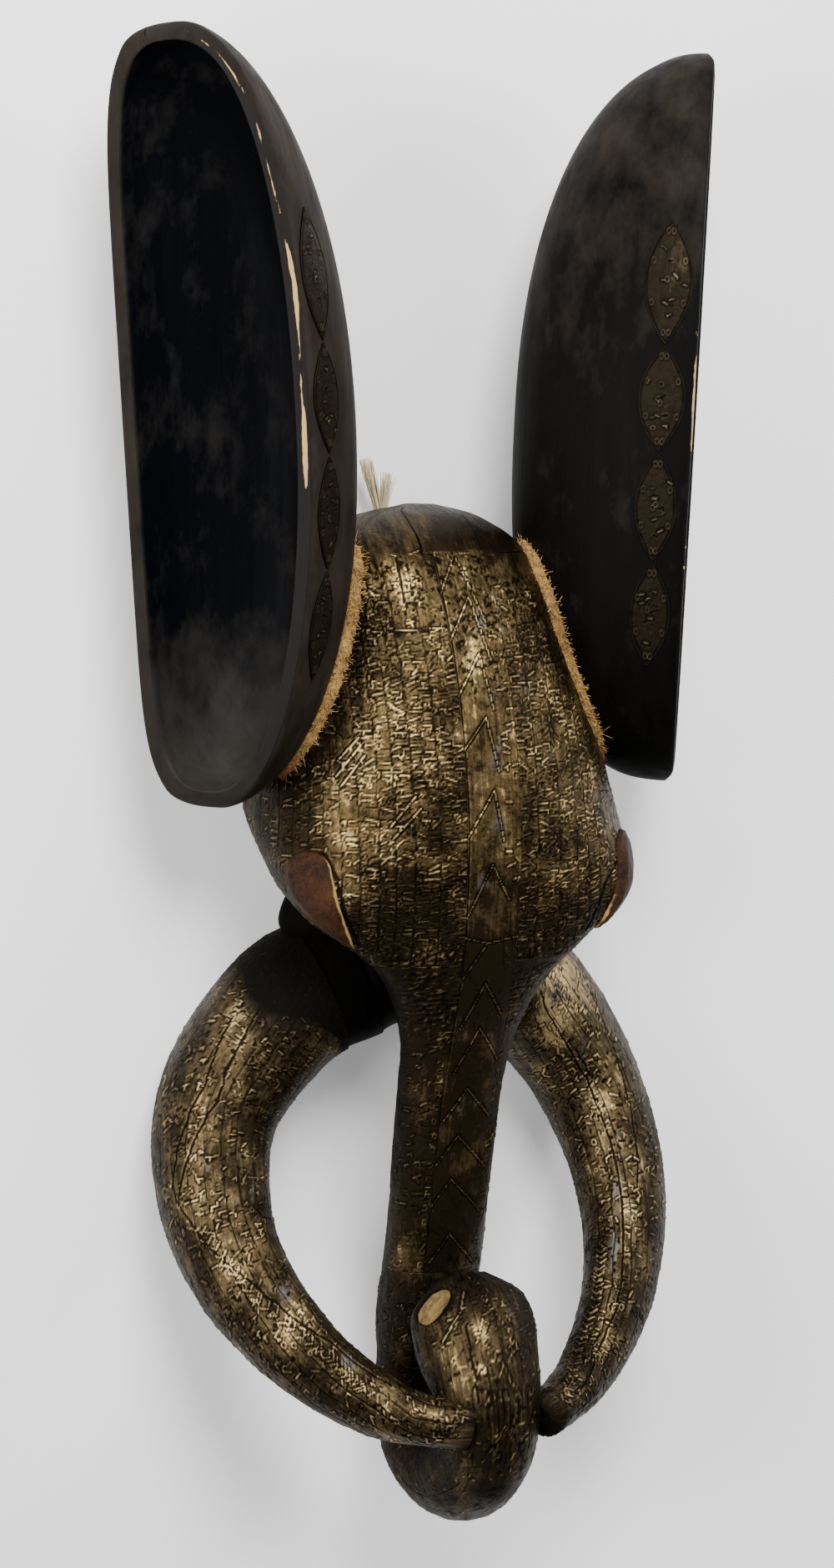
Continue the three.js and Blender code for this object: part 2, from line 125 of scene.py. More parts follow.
def makeFloor():
    selectOnly()
    bpy.ops.mesh.primitive_plane_add(size=14, location=(0, 0, -0.0005))
    floor = bpy.context.object
    floor.name = "floor"
    material, tree, shader = newMaterial("paleFloor")
    faint = noise(tree, (1, 1, 1), 3.0, 3.0)
    colour = blend(tree, faint, (0.97, 0.97, 0.97, 1), (0.99, 0.99, 0.985, 1))
    setInputs(tree, shader, [
        ("Base Color", colour), ("Emission Color", colour), ("Emission Strength", 0.2), ("Roughness", 0.9)])
    floor.data.materials.append(material)


def makeWorld():
    world = bpy.data.worlds.new("room")
    world.use_nodes = True
    back = world.node_tree.nodes["Background"]
    back.inputs["Color"].default_value = (1, 1, 1, 1)
    back.inputs["Strength"].default_value = lights["room"]
    bpy.context.scene.world = world


# Small sums that many pieces need

def unit(vectors):  # the same directions with length one
    return vectors / np.linalg.norm(vectors, axis=-1, keepdims=True)


def runAlong(points):  # distance along a line of points, from its first
    return np.concatenate([[0], np.cumsum(np.linalg.norm(np.diff(points, axis=0), axis=1))])


def smoothed(values, reach):  # mean over a few neighbours on each side
    count = 2 * reach + 1
    return np.convolve(np.pad(values, reach, mode="edge"), np.ones(count) / count, mode="valid")


def gridQuads(grid, turned):  # faces between the rows of a grid of numbers and the next column's numbers
    return np.stack([grid[:-1], turned[:-1], turned[1:], grid[1:]], -1).reshape(-1, 4)


# Shape of the head, trunk and curl: rings at stations, as in the part's source

sheetLift = 1.45
headSquareness = 0.92
levelStations = [  # y, half width, front, mid, back, rim
    (220, 12, 92, 82, 60, 4), (214, 36, 110, 84, 22, 20), (203, 57, 128, 88, 0, 42),
    (188, 74, 142, 92, 0, 58), (160, 86, 158, 98, 0, 70), (120, 96, 176, 102, 0, 80),
    (75, 112, 190, 104, 0, 88), (30, 133, 199, 98, 0, 98), (-5, 144, 203, 98, 0, 98),
    (-40, 143, 203, 132, 0, 58), (-66, 135, 201, 154, 20, 36), (-85, 119, 199, 162, 60, 10),
    (-100, 98, 197, 170, 84, 0), (-114, 81, 194, 171, 96, 0), (-130, 66, 190, 164, 103, 0),
    (-150, 54, 184, 155, 108, 0), (-178, 44, 175, 145, 108, 0), (-215, 40, 163, 132, 101, 0),
    (-265, 39, 151, 121, 91, 0), (-315, 38, 141, 111, 81, 0), (-365, 38, 130, 100, 70, 0),
    (-405, 38, 118, 88, 58, 0),
]
curlStations = [  # y, z, half width, inner, outer
    (-440, 83, 38, 30, 31), (-477, 89, 41, 29, 42), (-504, 115, 46, 31, 46),
    (-512, 152, 46, 31, 44), (-488, 186, 41, 29, 40), (-444, 195, 43, 33, 40),
    (-420, 181, 48, 35, 43), (-400, 170, 50, 35, 43), (-381, 158, 43, 30, 36),
    (-369, 150, 25, 17, 21),
]
collarStations = [  # y, half width, front, rim
    (-40, 60, 80, 46), (-66, 90, 90, 58), (-84, 104, 96, 64), (-97, 108, 98, 66),
    (-112, 102, 100, 64), (-138, 86, 104, 58), (-162, 58, 106, 42), (-176, 30, 104, 22),
]
curlTrim = 2.9  # keeps the rounded curl within its flat-sided solid
browRow, rimEndRow, noseRow, curlRow = 3, 11, 13, 20
ringCount = 361


def levelRing(station, grow, count=ringCount):
    y, half, front, mid, back, rimHalf = station
    angle = np.linspace(-180, 180, count)
    across = np.sin(np.radians(angle))
    up = np.cos(np.radians(angle))
    wide = half + grow
    deep = mid - back + (grow if back > 0 else 0)
    rim = max(rimHalf + grow, 0.5)
    x = wide * np.sign(across) * np.abs(across) ** headSquareness
    z = (front + grow - mid) * np.clip(up, 0, 1) ** headSquareness
    turn = 2 - np.abs(angle) / 90
    down = np.clip((1 - turn) * 1.5, 0, 1)
    flatX = np.where(down < 1, rim + (wide - rim) * (1 - down * down), rim * turn * 3)
    flatness = min(rimHalf / 40, 1)
    behind = np.abs(angle) > 90
    backX = wide * across * (1 - flatness) + np.sign(across) * flatX * flatness
    backZ = deep * (up * (1 - flatness) - down * flatness)
    x = np.where(behind, backX, x)
    z = np.where(behind, backZ, z)
    return np.stack([x, np.full(count, float(y)), mid + z], -1)


def curlRing(index, grow, count=ringCount):
    y, z, half, inner, outer = np.array(curlStations[index]) - (0, 0, curlTrim, curlTrim, curlTrim)
    before = curlStations[max(index - 1, 0)]
    after = curlStations[min(index + 1, len(curlStations) - 1)]
    along = unit(np.array([after[0] - before[0], after[1] - before[1]], float))
    inward = (along[1], -along[0])
    onward = grow if index == len(curlStations) - 1 else 0
    angle = np.radians(np.linspace(-180, 180, count))
    up = np.cos(angle)
    deep = up * (np.where(up > 0, inner, outer) + grow)
    return np.stack([
        np.sin(angle) * (half + grow),
        y + along[0] * onward + inward[0] * deep,
        z + along[1] * onward + inward[1] * deep,
    ], -1)


def headRings(grow):
    rings = [levelRing(station, grow) for station in levelStations]
    rings += [curlRing(i, grow) for i in range(len(curlStations))]
    return np.array(rings)


def through(rings, knots, at):  # smooth curve through rings, at places along the knots
    gaps = np.diff(knots)[:, None, None]
    slopes = np.diff(rings, axis=0) / gaps
    lean = np.empty_like(rings)
    lean[0] = slopes[0]
    lean[-1] = slopes[-1]
    lean[1:-1] = (slopes[:-1] * gaps[1:] + slopes[1:] * gaps[:-1]) / (gaps[1:] + gaps[:-1])
    i = np.clip(np.searchsorted(knots, at, side="right") - 1, 0, len(knots) - 2)
    gap = np.diff(knots)[i]
    t = ((at - knots[i]) / gap)[:, None, None]
    gap = gap[:, None, None]
    a = rings[i] * (2 * t**3 - 3 * t**2 + 1) + rings[i + 1] * (3 * t**2 - 2 * t**3)
    return a + lean[i] * gap * (t**3 - 2 * t**2 + t) + lean[i + 1] * gap * (t**3 - t**2)


knots = runAlong(headRings(0).mean(1))
sheetRings = headRings(sheetLift)


def headSurface(at):  # the surface just over the wood, at places along the knots
    return through(sheetRings, knots, at)


# Ears, as in the part's source

ear = {
    "length": 557.2, "mouth": 164.0, "depth": {-1: 133.0, 1: 138.0}, "wall": 13.0, "floor": 24.0,
    "middle": (198.0, 283.0, 152.0), "turn": 32.0, "splay": 3.2, "tipOffset": -20.0, "bow": 0.5,
    "tipDrop": 7.0, "edge": 2.6, "rimColumns": 9, "rows": 166, "columns": 54, "smoothAngle": 50,
    "roundness": 0.95,
}


def earEdges(share, grow):
    half = ear["mouth"] / 2 + grow
    toFront = half - ear["tipOffset"]
    toBack = half + ear["tipOffset"]
    size = np.clip(np.abs(share), 0, 1)
    atTip = share > 0
    back = np.clip(1 - size ** np.where(atTip, 7, 9), 0, 1) ** (1 / 3)
    frontPower = np.where(atTip, 2.3, 2.0)
    front = np.clip(1 - size**frontPower, 0, 1) ** (1 / frontPower)
    return ear["tipOffset"] - toBack * back, ear["tipOffset"] + toFront * front


def earDepthAt(side, sink, share):
    power = np.where(share < 0, 2.6, 1.9 if side < 0 else 2.25)
    return (ear["depth"][side] - sink) * np.clip(1 - np.abs(share) ** power, 0, 1) ** (1 / power)


def earPlace(side, across, along, out):
    share = along * 2 / ear["length"]
    bowed = out + ear["bow"] * (1 - share * share)
    bowed = bowed - ear["tipDrop"] * np.clip((np.abs(share) - 0.955) / 0.045, 0, 1.2) ** 2
    turn = math.radians(ear["turn"])
    x = bowed * math.cos(turn) - across * math.sin(turn)
    z = bowed * math.sin(turn) + across * math.cos(turn)
    splay = -math.radians(ear["splay"])
    turnedX = x * math.cos(splay) - along * math.sin(splay) + ear["middle"][0]
    y = x * math.sin(splay) + along * math.cos(splay) + ear["middle"][1]
    return np.stack([turnedX * side, y, z + ear["middle"][2]], -1)


# Meshes

def gridNormals(points, outwardFrom):
    down = np.gradient(points, axis=0)
    across = np.gradient(points, axis=1)
    normals = np.cross(across, down)
    normals /= np.maximum(np.linalg.norm(normals, axis=-1, keepdims=True), 1e-9)
    outward = np.mean(np.sum(normals * (points - outwardFrom), -1)) >= 0
    return normals if outward else -normals


def meshPiece(name, vertices, faces):
    data = bpy.data.meshes.new(name)
    data.from_pydata((np.asarray(vertices) * mm).tolist(), [], faces)
    data.update()
    data.polygons.foreach_set("use_smooth", np.ones(len(data.polygons), bool))
    return addToScene(name, data)


def addValues(piece, name, values):
    layer = piece.data.attributes.new(name, "FLOAT", "POINT")
    layer.data.foreach_set("value", np.asarray(values, np.float32))


def finish(piece, material, slotName, *nodes):
    piece.data.materials.clear()
    piece.data.materials.append(material)
    piece.data.polygons.foreach_set("material_index", np.zeros(len(piece.data.polygons), np.int32))
    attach(piece, "root")
    if nodes:
        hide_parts(*nodes)


# A sheet is a grid over a surface: fine outside with its relief, coarse inside, closed at the rims

valueNames = ("height", "toneAndHighlight", "lead", "sootAndShade")  # relief in millimetres, then shares for the colours: gold tone, partly a painted highlight; lead; and a darkening that is partly soot and partly painted shade


def makePatch(rings, at, low, high, columns):
    surface = through(rings, knots, at)
    rows = len(at)
    points = np.empty((rows, columns, 3))
    s = np.empty((rows, columns))
    low = np.broadcast_to(low, rows)
    high = np.broadcast_to(high, rows)
    for r in range(rows):
        ring = surface[r]
        run = runAlong(ring)
        run -= run[ringCount // 2]
        girth = run[-1] - run[0]
        runs = np.concatenate([run[:-1] - girth, run, run[1:] + girth])
        wrapped = np.concatenate([ring[:-1], ring, ring[1:]])
        s[r] = np.linspace(low[r], high[r], columns)
        for axis in range(3):
            points[r, :, axis] = np.interp(s[r], runs, wrapped[:, axis])
    patch = describePatch(points, surface[:, :-1].mean(1)[:, None, :], s)
    patch["along"] = at
    return patch


def describePatch(points, middle, s):
    rows, columns = s.shape
    t = runAlong(points[:, columns // 2])
    u, v = toPixels(points)
    normals = gridNormals(points, middle)
    seen = np.sum(normals * (eye - points), -1) > 0
    return {
        "points": points, "normals": normals, "s": s, "t": t, "u": u, "v": v, "seen": seen,
        "middle": np.broadcast_to(middle, (rows, 1, 3)), "depth": (points - eye) @ camLook,
        "along": t, "around": s, **{key: np.zeros((rows, columns)) for key in valueNames},
    }


def window(patch, s0, s1, t0, t1):
    t = patch["t"]
    r0, r1 = np.searchsorted(t, [t0, t1])
    r0 = max(r0 - 1, 0)
    r1 = min(r1 + 1, len(t))
    if r1 <= r0:
        return None
    line = patch["s"][(r0 + r1 - 1) // 2]
    c0 = max(int(np.searchsorted(line, s0)) - 2, 0)
    c1 = min(int(np.searchsorted(line, s1)) + 2, len(line))
    if c1 <= c0:
        return None
    return slice(r0, r1), slice(c0, c1)


def press(patch, area, profile):  # the strongest mark wins, so that crossing marks don't pile up
    height = patch["height"][area]
    patch["height"][area] = np.where(np.abs(profile) > np.abs(height), profile, height)


def stroke(patch, a, b, width, height, halo=0.7):
    reach = width * 2.6
    area = window(patch, min(a[0], b[0]) - reach, max(a[0], b[0]) + reach,
                  min(a[1], b[1]) - reach, max(a[1], b[1]) + reach)
    if area is None:
        return
    s = patch["s"][area]
    t = patch["t"][area[0]][:, None]
    ds, dt = b[0] - a[0], b[1] - a[1]
    share = np.clip(((s - a[0]) * ds + (t - a[1]) * dt) / max(ds * ds + dt * dt, 1e-6), 0, 1)
    away = np.hypot(s - a[0] - share * ds, t - a[1] - share * dt) / width
    press(patch, area, height * (np.exp(-away**2) - halo * np.exp(-((away - 1.7) ** 2) * 2.2)))


def ringMark(patch, s0, t0, radius, width, height, squash=1.0):
    reach = radius * max(squash, 1) + width * 2.6
    area = window(patch, s0 - reach, s0 + reach, t0 - reach, t0 + reach)
    if area is None:
        return
    s = patch["s"][area] - s0
    t = (patch["t"][area[0]][:, None] - t0) / squash
    away = (np.hypot(s, t) - radius) / width
    dish = -0.6 * np.exp(-((np.hypot(s, t) / radius) ** 4))
    press(patch, area, height * (np.exp(-away**2) + dish - 0.4 * np.exp(-((away - 1.8) ** 2) * 2)))


def cloud(shape, cells, seed):  # soft random field from -1 to 1
    values = np.random.default_rng(seed).uniform(-1, 1, (cells[0] + 3, cells[1] + 3))
    r = np.linspace(0.5, cells[0] + 1.5, shape[0])
    c = np.linspace(0.5, cells[1] + 1.5, shape[1])
    ri, ci = r.astype(int), c.astype(int)
    rf, cf = r - ri, c - ci
    rf = (rf * rf * (3 - 2 * rf))[:, None]
    cf = (cf * cf * (3 - 2 * cf))[None, :]
    top = values[np.ix_(ri, ci)] * (1 - cf) + values[np.ix_(ri, ci + 1)] * cf
    low = values[np.ix_(ri + 1, ci)] * (1 - cf) + values[np.ix_(ri + 1, ci + 1)] * cf
    return top * (1 - rf) + low * rf


def blobs(patch, key, *rows):  # soft patches of colour: place and half sizes in pixels, then amount
    for u, v, wide, tall, amount in rows:
        patch[key] += amount * np.exp(-((patch["u"] - u) / wide) ** 2 - ((patch["v"] - v) / tall) ** 2)


def spotAt(patch, u, v):  # place on the patch under a pixel of the photograph
    away = (patch["u"] - u) ** 2 + (patch["v"] - v) ** 2 + np.where(patch["seen"], 0, 1e6)
    if away.min() < 6:
        away = np.where(away < 6, patch["depth"] - 1e6, away)
    r, c = np.unravel_index(np.argmin(away), away.shape)
    return patch["s"][r, c], patch["t"][r]


def between(a, b, share, drift=(0, 0)):
    return a[0] + (b[0] - a[0]) * share + drift[0], a[1] + (b[1] - a[1]) * share + drift[1]


def stretches(patch, pixels):  # the pairs of neighbouring places under a line of pixels, with their lengths
    spots = [spotAt(patch, u, v) for u, v in pixels]
    return [(a, b, math.hypot(b[0] - a[0], b[1] - a[1])) for a, b in zip(spots, spots[1:])]


def pixelLine(patch, pixels, width, height, halo=0.5, wobble=0.0):
    rng = np.random.default_rng(1)
    for a, b, length in stretches(patch, pixels):
        count = max(int(length / 6), 1)
        last = a
        for i in range(1, count + 1):
            drift = rng.normal(0, wobble, 2) if i < count else (0, 0)
            to = between(a, b, i / count, drift)
            stroke(patch, last, to, width, height, halo)
            last = to


def beadLine(patch, pixels, width, height, bead=2.4):
    for a, b, length in stretches(patch, pixels):
        stroke(patch, a, b, width, height * 0.75, 0.6)
        for i in range(int(length / bead) + 1):
            spot = between(a, b, i * bead / max(length, 1e-6))
            stroke(patch, spot, spot, width * 0.8, height)


def sheetPiece(name, patch, thickness, coarse=4):
    outer = patch["points"] + patch["normals"] * patch["height"][..., None]
    inner = patch["points"] - patch["normals"] * thickness
    rows, columns = patch["s"].shape
    grid = np.arange(rows * columns).reshape(rows, columns)
    rowMarks = np.append(np.arange(0, rows - 1, coarse), rows - 1)
    columnMarks = np.append(np.arange(0, columns - 1, coarse), columns - 1)
    keep = np.zeros((rows, columns), bool)
    keep[np.ix_(rowMarks, columnMarks)] = True
    keep[[0, -1], :] = True
    keep[:, [0, -1]] = True
    below = np.full((rows, columns), -1)
    below[keep] = rows * columns + np.arange(keep.sum())
    faces = gridQuads(grid[:, :-1], grid[:, 1:]).tolist()
    for r0, r1 in zip(rowMarks, rowMarks[1:]):
        for c0, c1 in zip(columnMarks, columnMarks[1:]):
            loop = []
            loop += list(below[r0, c0:c1]) if r0 == 0 else [below[r0, c0]]
            loop += list(below[r0:r1, c1]) if c1 == columns - 1 else [below[r0, c1]]
            loop += list(below[r1, c1:c0:-1]) if r1 == rows - 1 else [below[r1, c1]]
            loop += list(below[r1:r0:-1, c0]) if c0 == 0 else [below[r1, c0]]
            faces.append([int(i) for i in loop[::-1]])
    kept, turned = (0, 1, 2, 3), (1, 0, 3, 2)
    for edge, order in ((np.s_[0], kept), (np.s_[-1], turned), (np.s_[:, 0], turned), (np.s_[:, -1], kept)):
        top, low = grid[edge], below[edge]
        faces += np.stack([low[:-1], low[1:], top[1:], top[:-1]], -1)[:, order].tolist()
    vertices = np.concatenate([outer.reshape(-1, 3), inner[keep]])
    turn = np.cross(outer[0, 1] - outer[0, 0], outer[1, 0] - outer[0, 0])
    if turn @ patch["normals"][0, 0] < 0:
        faces = [face[::-1] for face in faces]
    piece = meshPiece(name, vertices, faces)
    for key in valueNames:
        inside = np.full(int(keep.sum()), -0.5 if key == "height" else 0.0)
        addValues(piece, key, np.concatenate([patch[key].ravel(), inside]))
    layer = piece.data.uv_layers.new(name="UVMap")
    s = np.concatenate([patch["around"].ravel(), patch["around"][keep]]) * mm
    t = np.broadcast_to(patch["along"][:, None], (rows, columns))
    t = np.concatenate([t.ravel(), t[keep]]) * mm
    corner = np.empty(len(piece.data.loops), np.int32)
    piece.data.loops.foreach_get("vertex_index", corner)
    layer.data.foreach_set("uv", np.stack([s[corner], t[corner]], -1).ravel().astype(np.float32))
    return piece


# Materials, all built from nodes

def newMaterial(name):
    material = bpy.data.materials.new(name)
    material.use_nodes = True
    tree = material.node_tree
    return material, tree, tree.nodes["Principled BSDF"]


def setInputs(tree, made, inputs):
    for socket, value in inputs:
        if hasattr(value, "node"):
            tree.links.new(value, made.inputs[socket])
        else:
            made.inputs[socket].default_value = value


def node(tree, kind, inputs=(), **settings):
    made = tree.nodes.new(kind)
    for key, value in settings.items():
        setattr(made, key, value)
    setInputs(tree, made, inputs)
    return made


def coordinates(tree, kind="Object"):
    return node(tree, "ShaderNodeTexCoord").outputs[kind]


def noise(tree, stretch, scale, detail=4.0, rough=0.55, kind="Object"):
    where = node(tree, "ShaderNodeMapping", [("Vector", coordinates(tree, kind)), ("Scale", stretch)])
    return node(tree, "ShaderNodeTexNoise", [
        ("Vector", where.outputs[0]), ("Scale", scale), ("Detail", detail), ("Roughness", rough)]).outputs[0]


def value(tree, name):
    return node(tree, "ShaderNodeAttribute", attribute_name=name).outputs["Fac"]


def spread(tree, source, low, high, toLow=0.0, toHigh=1.0):
    return node(tree, "ShaderNodeMapRange", [
        ("Value", source), ("From Min", low), ("From Max", high),
        ("To Min", toLow), ("To Max", toHigh)]).outputs[0]


def sway(tree, source, amount):  # a noise as a change of at most about this amount, up and down
    return spread(tree, source, 0.3, 0.7, -amount, amount)


def times(tree, a, b):
    return node(tree, "ShaderNodeMath", [(0, a), (1, b)], operation="MULTIPLY").outputs[0]


def plus(tree, total, *parts):
    for part in parts:
        total = node(tree, "ShaderNodeMath", [(0, total), (1, part)], operation="ADD").outputs[0]
    return total


def blend(tree, share, a, b):
    return node(tree, "ShaderNodeMix", [(0, share), (6, a), (7, b)], data_type="RGBA").outputs[2]


def bump(tree, height, depth, strength):
    return node(tree, "ShaderNodeBump", [
        ("Height", height), ("Strength", strength), ("Distance", depth)]).outputs[0]


# the near-black is that of soot, of patina in the hollows and of painted shade; the edge colour is a painted
# highlight on the highest relief
brassColours = {
    "grimeAndShade": (0.0032, 0.0024, 0.0016, 1), "brown": (0.018, 0.0115, 0.004, 1),
    "bronze": (0.10, 0.064, 0.0185, 1), "gold": (0.60, 0.40, 0.125, 1),
    "edge": (0.34, 0.235, 0.09, 1), "lead": (0.085, 0.073, 0.059, 1),
}
brassNoises = {  # stretch, scale, detail and roughness of each noise over a sheet's own map
    "broad": ((1, 1, 1), 15.0, 6.0, 0.7), "patches": ((1, 0.6, 1), 55.0, 4.0, 0.7),
    "fine": ((1, 1, 1), 260.0, 4.0, 0.75), "brushed": ((1, 0.05, 1), 420.0, 3.0, 0.6),
}


metals = {  # brightness, streaks and saturation
    "brass": (-0.15, 0.12, 0.9), "stripBrass": (-0.02, 0.22, 0.9), "tuskBrass": (-0.1, 0.16, 0.84),
    "curlBrass": (0.0, 0.18, 0.86), "plaqueMetal": (-0.6, 0.15, 0.75),
}


def brassMaterial(name, brightness, streaks, saturation):
    material, tree, shader = newMaterial(name)
    colours = brassColours
    broad, patches, fine, brushed = (noise(tree, *facts, kind="UV") for facts in brassNoises.values())
    relief = value(tree, "height")
    raised = spread(tree, relief, 0.08, 0.5)
    sunk = spread(tree, relief, -0.02, -0.26)
    rubbed = plus(
        tree, spread(tree, broad, 0.3, 0.7), value(tree, "toneAndHighlight"), sway(tree, patches, 0.42),
        sway(tree, fine, 0.18), times(tree, raised, 0.6), sway(tree, brushed, streaks), brightness)
    colour = blend(tree, spread(tree, rubbed, 0.15, 0.75), colours["brown"], colours["bronze"])
    colour = blend(tree, spread(tree, rubbed, 0.72, 1.35), colour, colours["gold"])
    lead = plus(tree, value(tree, "lead"), sway(tree, patches, 0.45), sway(tree, fine, 0.25))
    colour = blend(tree, spread(tree, lead, 0.3, 0.65), colour, colours["lead"])
    # the soot share darkens the brass: partly soot, partly painted shade
    sootAndShadeShare = spread(tree, plus(tree, value(tree, "sootAndShade"), sway(tree, broad, 0.12)), 0.1, 1.0)
    colour = blend(tree, sootAndShadeShare, colour, colours["grimeAndShade"])
    # painted highlight on the highest relief, weaker where darkened
    highest = spread(tree, relief, 0.3, 1.0, 0.0, 0.6)
    paintedHighlight = times(tree, highest, spread(tree, sootAndShadeShare, 0.1, 1.0, 1.0, 0.1))
    colour = blend(tree, paintedHighlight, colour, colours["edge"])
    # the hollows of the relief darken: partly patina, partly painted shade in the creases
    colour = blend(tree, times(tree, sunk, 0.94), colour, colours["grimeAndShade"])
    colour = node(tree, "ShaderNodeHueSaturation", [("Saturation", saturation), ("Color", colour)])
    uneven = plus(tree, fine, times(tree, brushed, 0.5), times(tree, patches, 1.6))
    setInputs(tree, shader, [
        ("Base Color", colour.outputs[0]), ("Specular IOR Level", 0.03),
        ("Roughness", plus(tree, spread(tree, fine, 0.3, 0.75, 0.3, 0.5), times(tree, sootAndShadeShare, 0.25))),
        ("Metallic", spread(tree, sootAndShadeShare, 0.0, 0.9, 0.85, 0.0)),
        ("Normal", bump(tree, uneven, 0.0009, 0.8))])
    return material


def woodMaterial(name, dark, light, scale=1.0, roughness=0.6):
    material, tree, shader = newMaterial(name)
    grain = noise(tree, (1, 0.09, 1), 95.0 * scale, 5.0, 0.6)
    broad = noise(tree, (1, 0.45, 1), 9.0, 4.0, 0.6)
    share = plus(tree, times(tree, grain, 0.55), times(tree, broad, 0.6))
    colour = blend(tree, spread(tree, share, 0.42, 0.78), dark, light)
    setInputs(tree, shader, [
        ("Roughness", spread(tree, grain, 0.3, 0.7, roughness - 0.1, roughness + 0.12)),
        ("Specular IOR Level", 0.05), ("Normal", bump(tree, plus(tree, grain, broad), 0.0012, 0.6))])
    return material, tree, shader, colour


earColours = {
    "dark": (0.0007, 0.0006, 0.0005, 1), "light": (0.0034, 0.0025, 0.0018, 1),
    "haze": (0.022, 0.017, 0.013, 1), "inside": (0.0014, 0.0016, 0.0026, 1),
    "dust": (0.031, 0.028, 0.024, 1), "rim": (0.0065, 0.0066, 0.007, 1),
    "worn": (0.44, 0.285, 0.12, 1), "crack": (0.002, 0.002, 0.002, 1),
}


def earMaterial(name):
    colours = earColours
    material, tree, shader, colour = woodMaterial(name, colours["dark"], colours["light"], 0.8, 0.58)
    broad = noise(tree, (1, 0.7, 1), 14.0, 6.0, 0.65)
    fine = noise(tree, (1, 0.35, 1), 160.0, 4.0, 0.6)
    mottled = noise(tree, (1, 0.5, 1), 38.0, 6.0, 0.7)
    lighter = spread(tree, mottled, 0.3, 0.7, -0.05, 0.55)
    dusty = plus(tree, value(tree, "dust"), times(tree, broad, 0.5), lighter)
    inside = blend(tree, spread(tree, dusty, 0.5, 1.5), colours["inside"], colours["dust"])
    hazy = plus(tree, value(tree, "haze"), sway(tree, mottled, 0.4))
    colour = blend(tree, spread(tree, hazy, 0.1, 1.0), colour, colours["haze"])
    colour = blend(tree, value(tree, "inside"), colour, inside)
    rim = times(tree, value(tree, "rim"), spread(tree, mottled, 0.35, 0.65, 0.25, 1.0))
    colour = blend(tree, rim, colour, colours["rim"])
    ragged = plus(tree, value(tree, "worn"), sway(tree, fine, 0.9))
    colour = blend(tree, spread(tree, ragged, -0.15, 0.35), colour, colours["worn"])
    cracked = plus(tree, value(tree, "crack"), sway(tree, fine, 0.3))
    colour = blend(tree, spread(tree, cracked, -0.1, 0.2), colour, colours["crack"])
    setInputs(tree, shader, [("Base Color", colour)])
    return material


carvedColours = {
    "dark": (0.0008, 0.0007, 0.0006, 1), "light": (0.005, 0.004, 0.003, 1),
    "bareDark": (0.05, 0.03, 0.011, 1), "bareLight": (0.24, 0.155, 0.062, 1),
}
bareSpot = {"long": 0.0208, "wide": 0.0108, "deep": 0.003, "middle": (-0.0372, -0.3781, 0.1758)}


def bodyMaterial(name):
    colours = carvedColours
    material, tree, shader, colour = woodMaterial(name, colours["dark"], colours["light"])
    fine = noise(tree, (1, 0.3, 1), 160.0, 4.0, 0.6)
    long = unit(np.cross(facetFacing, (0, 0, 1)))
    wide = np.cross(facetFacing, long)
    away = node(tree, "ShaderNodeVectorMath", [
        (0, coordinates(tree)), (1, bareSpot["middle"])], operation="SUBTRACT").outputs[0]
    parts = []
    for axis, size in ((long, "long"), (wide, "wide"), (facetFacing, "deep")):
        along = node(tree, "ShaderNodeVectorMath", [
            (0, away), (1, tuple(axis / bareSpot[size]))], operation="DOT_PRODUCT").outputs[1]
        parts.append(times(tree, along, along))
    oval = plus(tree, *parts, sway(tree, fine, 0.22))
    bare = blend(tree, spread(tree, fine, 0.3, 0.7), colours["bareDark"], colours["bareLight"])
    colour = blend(tree, spread(tree, oval, 1.08, 0.9), colour, bare)
    setInputs(tree, shader, [("Base Color", colour), ("Specular IOR Level", 0.02)])
    return material


def fibreMaterial(name, dark, light, roughness=0.95, hairs=0.0):
    material, tree, shader = newMaterial(name)
    fine = noise(tree, (1, 1, 1), 260.0, 3.0, 0.6)
    broad = noise(tree, (1, 1, 1), 40.0, 3.0, 0.6)
    lifted = times(tree, value(tree, "hair"), hairs)
    share = plus(tree, times(tree, fine, 0.6), times(tree, broad, 0.5), lifted)
    colour = blend(tree, spread(tree, share, 0.35, 0.95), dark, light)
    if hairs:
        height = node(tree, "ShaderNodeSeparateXYZ", [(0, coordinates(tree))]).outputs[1]
        rusty = plus(tree, spread(tree, height, 0.05, 0.02), times(tree, broad, 0.4))
        colour = blend(tree, spread(tree, rusty, 0.5, 1.1), colour, fibres["rust"])
    setInputs(tree, shader, [("Base Color", colour), ("Roughness", roughness)])
    return material


# Carved wood: head, trunk, collar and tusks joined, with the hollow cut out of the back

def outwardFaces(piece, merge=None):
    selectOnly(piece)
    bpy.ops.object.mode_set(mode="EDIT")
    bpy.ops.mesh.select_all(action="SELECT")
    if merge:
        bpy.ops.mesh.remove_doubles(threshold=merge)
    bpy.ops.mesh.normals_make_consistent(inside=False)
    bpy.ops.object.mode_set(mode="OBJECT")
    return piece


def smoothByAngle(piece, degrees):
    selectOnly(piece)
    bpy.ops.object.shade_smooth_by_angle(angle=math.radians(degrees))


def closedLoft(name, rings):
    count, sides = rings.shape[:2]
    vertices = np.concatenate([rings.reshape(-1, 3), rings[[0, -1]].mean(1)])
    grid = np.arange(count * sides).reshape(count, sides)
    turned = np.roll(grid, -1, 1)
    faces = gridQuads(grid, turned).tolist()
    first, last = len(vertices) - 2, len(vertices) - 1
    faces += [[first, int(b), int(a)] for a, b in zip(grid[0], turned[0])]
    faces += [[last, int(a), int(b)] for a, b in zip(grid[-1], turned[-1])]
    return outwardFaces(meshPiece(name, vertices, faces), 0.00001)


